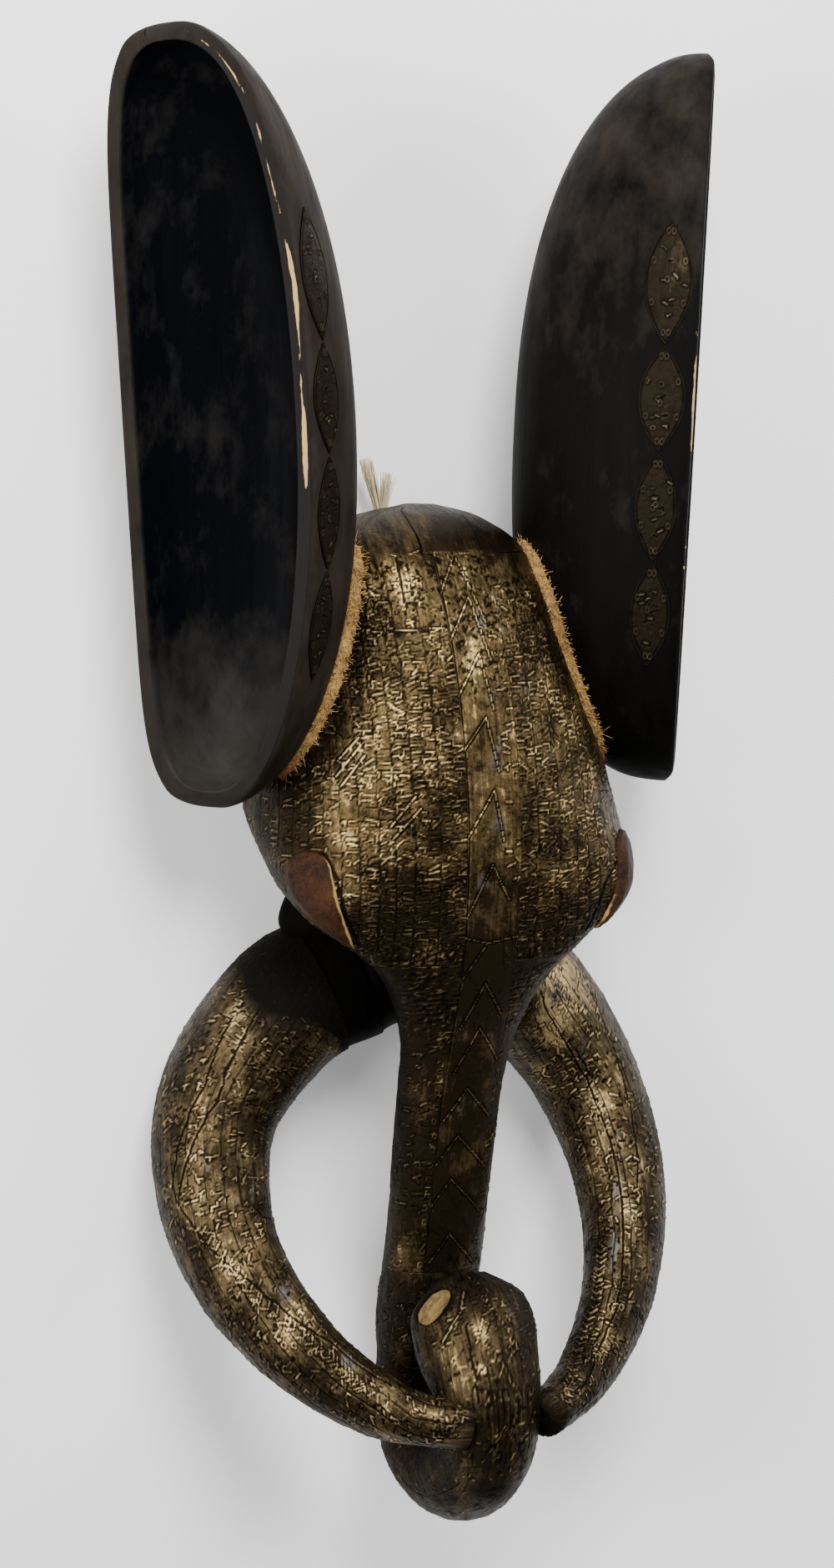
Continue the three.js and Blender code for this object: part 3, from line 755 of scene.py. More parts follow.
def joinShapes(piece, other, operation):
    selectOnly(piece)
    cut = piece.modifiers.new("cut", "BOOLEAN")
    cut.operation = operation
    cut.solver = "MANIFOLD"
    cut.object = other
    bpy.ops.object.modifier_apply(modifier="cut")
    bpy.data.objects.remove(other)


def capped(rings, offset, scales):  # small rings that round off the last ring of a loft
    last = rings[-1]
    middle = last.mean(0)
    onward = unit(middle - rings[-2].mean(0))
    more = [middle + (last - middle) * scale + onward * offset * rise for rise, scale in scales]
    return np.concatenate([rings, np.array(more)])


endRound = [(0.5, 0.8), (0.85, 0.5), (1.0, 0.05)]  # rise and scale of the rings that round an end


def fineHead(grow, columns, step):
    at = np.arange(knots[0], knots[-1], step)
    chosen = np.linspace(0, ringCount - 1, columns, endpoint=False).astype(int)
    surface = capped(through(headRings(grow), knots, at)[:, chosen], 1.2, endRound)
    lying = int(np.sum(at < knots[rimEndRow]))
    surface[:lying, :, 2] = np.maximum(surface[:lying, :, 2], 0.0)
    return capped(surface[::-1], 0.6, endRound)


def collarRing(station, grow, below, count):
    y, half, front, rim = station
    angle = np.linspace(0, 2 * math.pi, count, endpoint=False)
    up = (np.sin(angle) + 1) / 2
    wide = rim + grow + (half - rim) * np.sin(np.minimum(up * 1.6, 1) * math.pi / 2)
    z = (front + grow + below) * up - below
    return np.stack([wide * np.cos(angle), np.full(count, float(y)), z], -1)


def smoothLoft(rings, step):
    rings = np.array(rings)
    marks = runAlong(rings.mean(1))
    at = np.append(np.arange(0, marks[-1], step), marks[-1])
    return through(rings, marks, at)


tuskLine = np.array([
    (52, -140, 60), (98, -161, 54), (158, -236, 52), (173, -320, 89),
    (144, -393, 139), (88, -444, 182), (30, -461, 217)], float)
tuskSizes = {
    "root": 53.0, "tip": 15.5, "taper": 1.2, "lean": 6.0, "wideness": 1.07, "outward": (0.72, 0, -0.69),
}


def tuskCentre(side, shares):  # centripetal curve through the line's points, evenly along its length
    points = tuskLine * (side, 1, 1)
    points[:, 0] += tuskSizes["lean"] * (np.arange(len(points)) / (len(points) - 1)) ** 3
    ends = np.concatenate([[2 * points[0] - points[1]], points, [2 * points[-1] - points[-2]]])
    dense = []
    for i in range(len(points) - 1):
        a, b, c, d = ends[i : i + 4]
        da, db, dc = (math.sqrt(np.linalg.norm(q - p)) for p, q in ((a, b), (b, c), (c, d)))
        m0 = ((b - a) / da - (c - a) / (da + db) + (c - b) / db) * db
        m1 = ((c - b) / db - (d - b) / (db + dc) + (d - c) / dc) * db
        t = np.linspace(0, 1, 80, endpoint=i == len(points) - 2)[:, None]
        dense.append(b * (2 * t**3 - 3 * t**2 + 1) + c * (3 * t**2 - 2 * t**3)
                     + m0 * (t**3 - 2 * t**2 + t) + m1 * (t**3 - t**2))
    dense = np.concatenate(dense)
    run = runAlong(dense)
    wanted = shares * run[-1]
    centre, along = (np.stack([np.interp(wanted, run, values[:, k]) for k in range(3)], -1)
                     for values in (dense, np.gradient(dense, axis=0)))
    return centre, unit(along)


def tuskRings(side, grow, shares, angles):
    centre, along = tuskCentre(side, shares)
    outward = np.array(tuskSizes["outward"]) * (side, 1, 1)
    outward = unit(outward - (along @ outward)[:, None] * along)
    thin = np.cross(along, outward)
    radius = tuskSizes["root"] - (tuskSizes["root"] - tuskSizes["tip"]) * shares ** tuskSizes["taper"]
    wide = (radius * tuskSizes["wideness"] + grow)[:, None] * np.cos(angles)
    deep = (radius / tuskSizes["wideness"] + grow)[:, None] * np.sin(angles)
    return centre[:, None] + wide[..., None] * outward[:, None] + deep[..., None] * thin[:, None]


# The end of the curl is cut flat: the wood's cut, and how far under it the sheet round it stops
facetMiddle = np.array([-37.1, -377.8, 178.9])
facetFacing = unit(np.array([-0.67, 0.64, 0.13]))
facet = {"block": 88.0, "deeper": 0.6, "sheetUnder": 1.2, "sheetDeepest": 5.1, "reach": 50.0}


def facetBlock():
    selectOnly()
    bpy.ops.mesh.primitive_cube_add(size=1)
    block = bpy.context.object
    size = facet["block"] * mm
    turn = Vector((0, 0, 1)).rotation_difference(Vector(facetFacing)).to_matrix().to_4x4()
    middle = Vector((facetMiddle - facetFacing * facet["deeper"]) * mm)
    block.data.transform(Matrix.Diagonal((size, size, size / 2, 1)))
    block.data.transform(Matrix.Translation((0, 0, size / 4)))
    block.data.transform(Matrix.Translation(middle) @ turn)
    return block


farOutside = -1e3


def pixelReach(points, normals, line):  # how far seen places lie inside a line of changing half width
    u, v = toPixels(points)
    best = np.full(u.shape, farOutside)
    for (u0, v0, half0), (u1, v1, half1) in zip(line, line[1:]):
        du, dv = u1 - u0, v1 - v0
        share = np.clip(((u - u0) * du + (v - v0) * dv) / (du * du + dv * dv), 0, 1)
        away = np.hypot(u - u0 - share * du, v - v0 - share * dv)
        best = np.maximum(best, half0 + (half1 - half0) * share - away)
    hidden = np.sum(normals * (eye - points), -1) < 0
    return np.where(hidden, farOutside, best)


def meshArrays(piece):
    count = len(piece.data.vertices)
    points = np.empty(count * 3, np.float32)
    normals = np.empty(count * 3, np.float32)
    piece.data.vertices.foreach_get("co", points)
    piece.data.vertex_normals.foreach_get("vector", normals)
    return points.reshape(-1, 3).astype(float) / mm, normals.reshape(-1, 3).astype(float)


bodySizes = {
    "columns": 112, "step": 5.6, "wall": 26, "rimWall": 20, "hollowFloor": -12, "smoothAngle": 38,
    "hollowRows": (3, 4, 6, 8, 10), "jawWall": 20, "jawDeep": 12,
}
jawBar = {"reach": 64, "middle": (-140, 61), "radius": 42, "flare": 9.5, "round": 14}


def makeJawBar():  # the thick bar between the roots of the tusks, wider at both ends and rounded off
    turn = np.linspace(0, 2 * math.pi, 48, endpoint=False)
    reach, end = jawBar["reach"], jawBar["round"]
    y, z = jawBar["middle"]
    rings = []
    for x in np.linspace(-reach, reach, 33):
        flare = min(max((abs(x) - 14) / 32, 0), 1)
        rounding = end * max(abs(x) - (reach - end), 0) ** 2 / end**2
        radius = jawBar["radius"] + jawBar["flare"] * flare * flare * (3 - 2 * flare) - rounding
        rings.append(np.stack([np.full(48, x), y + radius * np.cos(turn), z + radius * np.sin(turn)], -1))
    return closedLoft("jawBar", np.array(rings))


def makeBody():
    facts = bodySizes
    body = closedLoft("headWood", fineHead(0.0, facts["columns"], facts["step"]))
    joinShapes(body, facetBlock(), "DIFFERENCE")
    collar = smoothLoft([collarRing(station, 0, 0, 72) for station in collarStations], 4.0)
    joinShapes(body, closedLoft("collar", collar), "UNION")
    for side in sideNames:
        angles = np.linspace(0, 2 * math.pi, 60, endpoint=False)
        tusk = tuskRings(side, 0.0, np.linspace(0, 1, 130), angles)
        joinShapes(body, closedLoft("tusk", tusk), "UNION")
    joinShapes(body, makeJawBar(), "UNION")
    inner = []
    for index in facts["hollowRows"]:
        y, half, front, mid, _, rim = levelStations[index]
        station = (y - 4, half - facts["wall"], front - facts["wall"], mid,
                   facts["hollowFloor"], rim - facts["rimWall"])
        inner.append(levelRing(station, 0, 121)[:-1])
    joinShapes(body, closedLoft("hollow", smoothLoft(inner, 5.0)), "DIFFERENCE")
    lower = [collarRing(station, -facts["jawWall"], facts["jawDeep"], 60) for station in collarStations[1:-1]]
    joinShapes(body, closedLoft("jawHollow", smoothLoft(lower, 5.0)), "DIFFERENCE")
    smoothByAngle(body, facts["smoothAngle"])
    return body


# Brass sheets on the head, trunk and curl

sheets = {
    "thickness": 0.9, "stripHalf": 22.0, "stripLift": 0.45, "foreheadStep": 1.25,
    "trunkStep": 1.35, "stripStep": 1.0, "curlStep": 1.48, "tuskStep": 1.5,
    "mark": 0.62, "markWidth": 0.85,
}


def sideReach(at):  # how far round from the front each row's sheet goes
    reach = np.empty(len(at))
    for r, ring in enumerate(headSurface(at)[:, ringCount // 2 :]):
        run = runAlong(ring)
        lowest = np.interp(-ring[:, 1].mean(), [50, 85], [46, 94])
        below = np.nonzero(ring[:, 2] < lowest)[0]
        reach[r] = run[below[0]] if len(below) else run[-1] - 0.6
    return smoothed(reach, 3)


def rowsBetween(first, last, step):
    count = int((knots[last] - knots[first]) / step / 4) * 4 + 1
    return np.linspace(knots[first], knots[last], count)


def columnsFor(width, step):
    return int(width / step / 4) * 4 + 1


def girthOf(surface):  # the length round each ring
    return np.linalg.norm(np.diff(surface, axis=1), axis=-1).sum(1)


def hammer(patch, seed, amount=0.35):
    rows, columns = patch["s"].shape
    width = patch["s"][rows // 2, -1] - patch["s"][rows // 2, 0]
    broad, small = (
        cloud((rows, columns), (int(patch["t"][-1] / size) + 1, int(abs(width) / size) + 1), seed + k)
        for k, size in enumerate((26, 8)))
    patch["points"] += patch["normals"] * (broad * amount + small * amount * 0.55)[..., None]


def motif(patch, rng, s, t, wide, tall):  # a bar, at times with a tick at one end or its middle, or a ring
    kind = rng.random()
    height = sheets["mark"] * rng.uniform(0.6, 1.15) * (1 if rng.random() < 0.74 else -0.8)
    width = sheets["markWidth"] * rng.uniform(0.8, 1.15)
    slant = rng.normal(0, 0.18) * tall
    left, right = (s - wide / 2, t - slant), (s + wide / 2, t + slant)
    if kind < 0.9:
        stroke(patch, left, right, width, height)
    if 0.5 < kind < 0.78:
        end = left if rng.random() < 0.5 else right
        tick = (end[0] + rng.normal(0, 0.6), end[1] + tall * rng.uniform(0.35, 0.7))
        stroke(patch, end, tick, width, height)
    if 0.78 < kind < 0.9:
        stroke(patch, (s, t), (s + rng.normal(0, 1), t + tall * 0.6), width, height)
    if kind >= 0.9:
        ringMark(patch, s, t, rng.uniform(1.2, 1.8), 0.7, height, rng.uniform(0.8, 1.3))


def markBand(patch, rng, s0, s1, t0, t1, spacing, fill=0.9, side=1, size=1.0):
    t = t0 + rng.uniform(0, spacing)
    while t < t1:
        s = s0 + rng.uniform(0.6, 1.6)
        while s < s1 - 2:
            wide = min(rng.uniform(3.5, 8.5) * size, s1 - 0.8 - s)
            if rng.random() < fill:
                motif(patch, rng, (s + wide / 2) * side, t + rng.normal(0, 0.6), wide, spacing)
            s += wide + rng.uniform(1.2, 2.4)
        t += spacing * rng.uniform(0.85, 1.15)


def pecks(patch, rng, count, s0, s1, t0, t1, deep=0.45, high=0.35):  # short hammered creases
    for _ in range(count):
        s, t = s0 + (s1 - s0) * rng.random(), rng.uniform(t0, t1)
        turn, size = rng.uniform(0, math.pi), rng.uniform(1.0, 3.2)
        stroke(patch, (s, t), (s + size * math.cos(turn), t + size * math.sin(turn)),
               rng.uniform(0.75, 1.3), rng.uniform(-deep, high), 0.3)


def groove(patch, s, t0, t1, depth, rng, wobble=0.5):
    last = (s, t0)
    t = t0
    while t < t1:
        t = min(t + 14, t1)
        to = (s + rng.normal(0, wobble), t)
        stroke(patch, last, to, 0.75, -depth, 0.35)
        last = to


def darkSides(patch):  # painted shade where the sheet turns away from the front; also darker towards the trunk
    patch["sootAndShade"] += 0.5 * np.clip(0.75 - patch["normals"][..., 2], 0, 1)
    low = np.clip((patch["v"] - 1035) / 115, 0, 1)
    patch["sootAndShade"] += 0.3 * low
    patch["toneAndHighlight"] -= 0.4 * low


def scratch(patch, rng, count, height=0.18, length=18):
    low, high = patch["s"].min(), patch["s"].max()
    for _ in range(count):
        s, t = rng.uniform(low, high), rng.uniform(0, patch["t"][-1])
        lean, size = rng.normal(0.5, 0.5), rng.uniform(0.3, 1) * length
        stroke(patch, (s, t), (s + size * math.sin(lean), t + size * math.cos(lean)), 0.7, -height, 0.2)


crownCrack = [(474, 600), (478, 608), (500, 642), (506, 661)]


def crackEdge(at):  # where the crack of the crown crosses each row, across from the front line
    surface = headSurface(at)[:, ringCount // 4 : -(ringCount // 4)]
    u, v = toPixels(surface)
    line = np.interp(v, [p[1] for p in crownCrack], [p[0] for p in crownCrack])
    edge = np.empty(len(at))
    for r, ring in enumerate(surface):
        run = runAlong(ring)
        edge[r] = (run - run[len(run) // 2])[np.argmin(np.abs(u[r] - line[r]))]
    return smoothed(edge, 4)


def ringMarks(patch, pixels, radius, width, height):  # ring marks at places in pixels
    for u, v in pixels:
        s, t = spotAt(patch, u, v)
        ringMark(patch, s, t, radius, width, height)


foreheadWork = {  # across from the front line: the front's end, and where marks grow rarer; counts of marks
    "front": 60, "dense": 95, "waves": 0.45, "creases": 620, "browMarks": 26, "scratches": 60,
}
foreheadMarks = {  # placed in pixels; soft patches have a place, half sizes and an amount
    -1: {
        "top": (487, 757), "brow": (487, 680),
        "rimOfEye": [(350, 1030), (368, 1019), (388, 1024), (404, 1056), (413, 1098), (431, 1136)],
        "creases": [
            [(404, 912), (428, 884)], [(402, 930), (432, 893)], [(408, 942), (436, 906)],
            [(470, 990), (500, 955)], [(474, 1006), (506, 972)],
        ],
        "toneAndHighlight": [
            (482, 712, 26, 30, 0.42), (505, 790, 24, 60, 0.12), (462, 900, 40, 60, 0.1),
            (400, 1010, 40, 60, 0.1), (520, 1060, 40, 60, -0.08), (350, 980, 40, 70, -0.34),
            (425, 760, 18, 70, -0.2), (440, 700, 12, 16, 0.25),
        ],
        "lead": [],
    },
    1: {
        "top": (615, 745), "brow": (620, 700),
        "rimOfEye": [(752, 1018), (743, 1024), (728, 1060), (716, 1093), (704, 1116)],
        "creases": [],
        "toneAndHighlight": [
            (620, 740, 20, 50, 0.05), (660, 900, 30, 90, 0.14), (662, 1045, 24, 40, 0.2),
            (690, 780, 20, 60, -0.2),
        ],
        "lead": [(592, 770, 9, 60, 0.75), (606, 890, 10, 70, 0.6), (630, 830, 12, 30, 0.3)],
    },
}


def makeForehead(side):
    at = rowsBetween(0, noseRow, sheets["foreheadStep"])
    reach = sideReach(at)
    edge = sheets["stripHalf"] - 2.0
    stripRow = int(np.searchsorted(at, knots[browRow])) + 2
    columns = columnsFor(reach.max() - edge, sheets["foreheadStep"] * 1.15)
    inner = np.full(len(at), float(edge))
    inner[:stripRow] = crackEdge(at)[:stripRow] * side + 0.35
    low, high = (inner, reach) if side > 0 else (-reach, -inner)
    patch = makePatch(sheetRings, at, low, high, columns)
    rng = np.random.default_rng(11 + side)
    work, facts = foreheadWork, foreheadMarks[side]
    hammer(patch, 40 + side, work["waves"])
    end = patch["t"][-1]
    top, brow = (spotAt(patch, u, v)[1] for u, v in (facts["top"], facts["brow"]))
    s = edge + 1.0
    while s < reach.max() - 4:
        front = s < work["front"]
        width = rng.uniform(15, 22) if front else rng.uniform(11, 16)
        start = top + (rng.uniform(-6, 8) if front else -30)
        groove(patch, (s + width) * side, brow if front else 40, end, 0.3, rng)
        density = 0.97 if s < work["dense"] else 0.62
        for t in np.arange(start, end, 42.0):
            spacing = rng.uniform(4.2, 5.6)
            markBand(patch, rng, s + 0.4, s + width - 0.3, t, min(t + 41, end), spacing, density, side)
        s += width
    pecks(patch, rng, work["creases"], inner.min() * side, work["dense"] * side, brow - 6, top + 4, 0.5)
    for _ in range(work["browMarks"]):
        motif(patch, rng, rng.uniform(25, 90) * side, rng.uniform(brow, top), rng.uniform(3, 7), 5)
    scratch(patch, rng, work["scratches"])
    pixelLine(patch, facts["rimOfEye"], 1.5, -0.8, 0.1)
    if side < 0:
        beadLine(patch, [(445, 757), (530, 752)], 0.8, 0.8)
        pixelLine(patch, [(474, 666), (504, 660)], 0.9, 0.7)
        pixelLine(patch, [(475, 666), (480, 690), (486, 722)], 0.9, -0.6)
    for line in facts["creases"]:
        pixelLine(patch, line, 0.8, 0.7, 0.8)
    blobs(patch, "toneAndHighlight", *facts["toneAndHighlight"])
    blobs(patch, "lead", *facts["lead"])
    patch["toneAndHighlight"] -= 0.22 * np.clip((685 - patch["v"]) / 30, 0, 1)
    darkSides(patch)
    groove(patch, (edge + 1.0) * side, 30, end, 0.5, rng, 0.1)
    closeEnd(patch, fromStart=True)
    return sheetPiece("foreheadSheet_" + sideNames[side], patch, sheets["thickness"])


stripWork = {
    "waves": 0.2, "browCreases": 520, "trunkCreases": 160, "scratches": 60, "chevron": (0.75, 0.85),
}
chevrons = [  # pixels: left foot, point and right foot
    ((525, 712), (545, 664), (583, 745)), ((536, 768), (563.5, 716), (590, 790)),
    ((547, 835), (576, 783), (593, 850)), ((556, 900), (585, 861), (600, 925)),
    ((559, 1005), (594, 949), (606, 1010)), ((562, 1103), (592.6, 1039), (612, 1081)),
    ((549, 1178), (586, 1132), (586, 1132)), ((558, 1127), (586, 1132), (622, 1125)),
    ((552, 1236), (583, 1181), (603, 1216)), ((545, 1290), (577, 1235), (600, 1272)),
    ((530, 1350), (561.5, 1307), (590, 1340)), ((520, 1404), (550, 1365), (583, 1398)),
    ((516, 1452), (542, 1417), (575, 1450)), ((512, 1520), (539.6, 1482), (568, 1516)),
]


def makeStrip():
    at = rowsBetween(browRow, curlRow, sheets["stripStep"] * 1.15)
    half = sheets["stripHalf"]
    stripRings = headRings(sheetLift + sheets["stripLift"])
    patch = makePatch(stripRings, at, -half, half, columnsFor(2 * half, sheets["stripStep"]))
    hammer(patch, 60, stripWork["waves"])
    rng = np.random.default_rng(5)
    end = patch["t"][-1]
    for line in chevrons:
        beadLine(patch, line, *stripWork["chevron"])
    scratch(patch, rng, stripWork["scratches"], 0.2, 26)
    upper = spotAt(patch, 560, 830)[1]
    pecks(patch, rng, stripWork["browCreases"], -half + 2, half, 4, upper, 0.6, 0.45)
    markBand(patch, rng, 9, half, upper * 0.6, spotAt(patch, 580, 1060)[1], 5.2, 0.4)
    pecks(patch, rng, stripWork["trunkCreases"], -half + 2, half, upper, end, 0.3, 0.2)
    groove(patch, -half + 0.9, 0, end, 0.55, rng, 0.12)
    groove(patch, half - 1.4, upper * 2, end, 0.14, rng, 0.15)
    pixelLine(patch, [(508, 666), (564, 663)], 0.8, 0.5)
    ringMarks(patch, [(514, 667), (541, 667)], 2.0, 0.7, 0.7)
    # the upper tone patches are partly painted highlights on the strip
    blobs(patch, "toneAndHighlight", (568, 790, 10, 60, 0.34), (556, 860, 8, 40, 0.2), (548, 690, 16, 24, 0.08),
          (575, 1010, 12, 50, 0.12), (560, 1250, 30, 200, -0.10))
    blobs(patch, "lead", (576, 745, 9, 26, 0.5), (592, 830, 9, 22, 0.45), (596, 905, 9, 28, 0.5),
          (568, 880, 5, 40, 0.25), (598, 990, 8, 30, 0.4), (580, 1060, 14, 20, 0.3))
    blobs(patch, "sootAndShade", (590, 1090, 22, 26, 0.5), (590, 980, 8, 26, 0.3))
    darkSides(patch)
    return sheetPiece("centreStrip", patch, sheets["thickness"])


trunkWork = {  # bands of marks beside the strip on both sides: distance from its edge and width
    "waves": 0.3, "bands": ((1, 17), (19, 14), (34, 14)), "rowStep": 4.6, "staples": 12.0, "dense": 60,
}


def makeTrunk():
    at = rowsBetween(noseRow, curlRow, sheets["trunkStep"])
    girth = girthOf(headSurface(at))
    edge = sheets["stripHalf"] - 2.0
    patch = makePatch(sheetRings, at, np.full(len(at), edge), girth - edge,
                      columnsFor(girth.mean() - 2 * edge, sheets["trunkStep"]))
    patch["around"] = np.where(patch["s"] > girth[:, None] / 2, patch["s"] - girth[:, None], patch["s"])
    hammer(patch, 70, trunkWork["waves"])
    rng = np.random.default_rng(9)
    end = patch["t"][-1]

    def girthAt(t):
        return girth[min(int(np.searchsorted(at - at[0], t)), len(at) - 1)]

    step = trunkWork["rowStep"]
    for t in np.arange(6, end, step):
        fill = 0.85 if t < trunkWork["dense"] else 0.34
        for start, width in trunkWork["bands"]:
            for s in (edge + start, girthAt(t) - edge - start - width):
                markBand(patch, rng, s, s + width, t, t + 4.5, step, fill)
    for t in np.arange(10, end, trunkWork["staples"]):
        wide = girthAt(t)
        for s in (edge + 4.5, wide - edge - 4.5):
            ringMark(patch, s + rng.normal(0, 0.5), t, 1.5, 0.7, 0.6, 1.4)
    for v in np.arange(1150, 1222, 6.0):
        for u in (488, 506, 524):
            s, t = spotAt(patch, u, v)
            stroke(patch, (s - 4, t), (s + 4, t + rng.normal(0, 0.8)), 0.7, 0.45)
    pixelLine(patch, [(498, 1536), (532, 1536)], 0.8, -0.5)
    darkSides(patch)
    # painted light: the trunk's end is brighter and less shaded where it faces the viewer; the soot patch by
    # the left cheek is a painted shadow
    seenSide = np.clip(facingView(patch) * 2, 0, 1)
    blobs(patch, "toneAndHighlight", (510, 1500, 60, 50, 0.5 * seenSide), (520, 1400, 40, 200, 0.05))
    blobs(patch, "sootAndShade", (466, 1190, 30, 60, 0.25), (520, 1500, 60, 80, -0.4 * seenSide))
    return sheetPiece("trunkSheet", patch, sheets["thickness"])


curlWork = {"waves": 0.45, "reach": 126, "band": 14.0, "creases": 900, "chevron": (0.8, 0.6)}
curlChevrons = [
    ((573, 1609), (583, 1561), (628, 1627)), ((581, 1684), (605, 1638), (621, 1664)),
    ((578, 1753), (605, 1714), (631, 1753)),
]


def makeCurl():
    turned = np.roll(sheetRings[:, :-1], ringCount // 2, axis=1)
    turned = np.concatenate([turned, turned[:, :1]], axis=1)
    at = rowsBetween(curlRow, len(knots) - 1, sheets["curlStep"])
    girth = girthOf(through(turned, knots, at))
    columns = columnsFor(girth.mean(), sheets["curlStep"])
    patch = makePatch(turned, at, -girth / 2 + 0.2, girth / 2 - 0.2, columns)
    hammer(patch, 80, curlWork["waves"])
    rng = np.random.default_rng(23)
    reach, wide = curlWork["reach"], curlWork["band"]
    end = patch["t"][-1]
    for s in np.arange(-reach, reach, wide):
        groove(patch, s, 4, end, 0.25, rng, 0.8)
        for t in np.arange(4, end, 40.0):
            markBand(patch, rng, s + 0.5, s + wide - 0.5, t, t + 39, rng.uniform(5, 7), 0.42, size=0.75)
    pecks(patch, rng, curlWork["creases"], -reach, reach, 4, end - 6)
    for u in np.arange(585, 640, 6.0):
        pixelLine(patch, [(u, 1668), (u + 3, 1710), (u + 4, 1755)], 0.7, -0.3, 0.3, 0.5)
    for line in curlChevrons:
        beadLine(patch, line, *curlWork["chevron"])
    pixelLine(patch, [(557, 1549), (552, 1573), (530, 1608)], 0.9, 0.7, 0.8)
    pixelLine(patch, [(560, 1590), (573, 1680)], 1.0, -0.7)
    pixelLine(patch, [(475, 1765), (549, 1781)], 0.9, -0.6)
    ringMarks(patch, [(577, 1641), (633, 1723), (581, 1556)], 2.2, 0.8, 0.8)
    # the small tone patches on the knob are partly painted highlights
    blobs(patch, "toneAndHighlight", (578, 1602, 9, 16, 0.6), (577, 1641, 7, 9, 0.5), (548, 1640, 12, 44, 0.35),
          (590, 1620, 34, 54, 0.34), (610, 1715, 30, 50, 0.15))
    # painted shade along the curl's lower edge, lighter on the upper left
    blobs(patch, "sootAndShade", (588, 1786, 34, 14, 0.6), (520, 1600, 50, 60, -0.15))
    darkSides(patch)
    # painted shade on the lower left of the curl, by the left tusk
    blobs(patch, "sootAndShade", (505, 1735, 30, 30, 0.25))
    closeEnd(patch)
    under, deepest = facet["sheetUnder"], facet["sheetDeepest"]
    aboveFacet = (patch["points"] - facetMiddle) @ facetFacing
    close = np.linalg.norm(patch["points"] - facetMiddle, axis=-1) < facet["reach"]
    near = (aboveFacet > -under) & close
    sunk = np.maximum(-under - 3.0 * (aboveFacet + under), -deepest) - aboveFacet
    patch["points"] += np.where(near, sunk, 0)[..., None] * facetFacing
    patch["height"][near] = 0
    return sheetPiece("curlSheet", patch, sheets["thickness"])


def closeEnd(patch, fromStart=False):  # draw the last rows in over the end
    rows = (0, 1, 2, 3, 8) if fromStart else (-1, -2, -3, -4, -9)
    last = patch["points"][rows[0]].copy()
    middle = patch["middle"][rows[0], 0]
    onward = unit(middle - patch["middle"][rows[4], 0])
    outer = patch["normals"][rows[0]].copy()
    for row, scale, rise in zip(rows, (0.02, 0.4, 0.75, 0.95), (1.5, 1.4, 1.0, 0.4)):
        patch["points"][row] = middle + (last - middle) * scale + onward * rise
        patch["normals"][row] = unit(outer * (scale - 0.02) + onward * (1.02 - scale))
        patch["height"][row] *= scale


def facingView(patch):  # how squarely each place faces the viewer
    sight = eye - patch["points"]
    return np.sum(patch["normals"] * sight, -1) / np.linalg.norm(sight, axis=-1)


tuskSheets = {
    "length": 560.0, "from": 0.055, "columns": 145, "faceAt": 0.55, "waves": 0.4, "reach": 110,
    "creases": 1700, "scratches": 60,
}
tuskMarks = {  # in pixels: lines, and soft patches with half sizes, where tone is partly painted highlight and soot is painted shade; the root entry is a reach and an amount of darkening at the root, partly painted shade
    -1: {
        "seams": (
            ((290, 1195), (245, 1300), (205, 1425)), ((327, 1180), (260, 1320), (212, 1440)),
            ((225, 1463), (300, 1535), (400, 1610), (470, 1660)), ((210, 1440), (225, 1463))),
        "fishbone": ((240, 1480), (310, 1560), (400, 1630), (440, 1668)),
        "toneAndHighlight": ((285, 1220, 18, 40), (240, 1330, 16, 70), (230, 1450, 16, 24), (290, 1520, 22, 34),
                 (350, 1590, 26, 30), (430, 1660, 30, 22)),
        "lead": ((302, 1432, 6, 44), (342, 1550, 11, 24), (415, 1634, 14, 11), (250, 1390, 5, 30)),
        "sootAndShade": ((400, 1180, 70, 60), (340, 1150, 60, 40), (210, 1600, 60, 60), (320, 1690, 90, 30),
                 (190, 1300, 12, 160)),
        "rootSootAndShade": (40, 1.0), "brightness": -0.1,
    },
    1: {
        "seams": (
            ((650, 1190), (700, 1290), (745, 1440)), ((700, 1170), (745, 1280), (765, 1430)),
            ((745, 1440), (740, 1560), (690, 1670))),
        "fishbone": ((720, 1500), (712, 1560), (690, 1620), (676, 1680)),
        "toneAndHighlight": ((670, 1210, 22, 40), (725, 1330, 18, 60), (752, 1440, 14, 50), (725, 1560, 16, 50),
                 (680, 1660, 20, 24)),
        "lead": ((672, 1190, 22, 34), (700, 1290, 8, 60), (742, 1400, 9, 60), (735, 1510, 8, 50)),
        "sootAndShade": ((640, 1230, 12, 60), (785, 1400, 10, 120), (690, 1420, 12, 90)),
        "rootSootAndShade": (12, 0.7), "brightness": 0.0,
    },
}


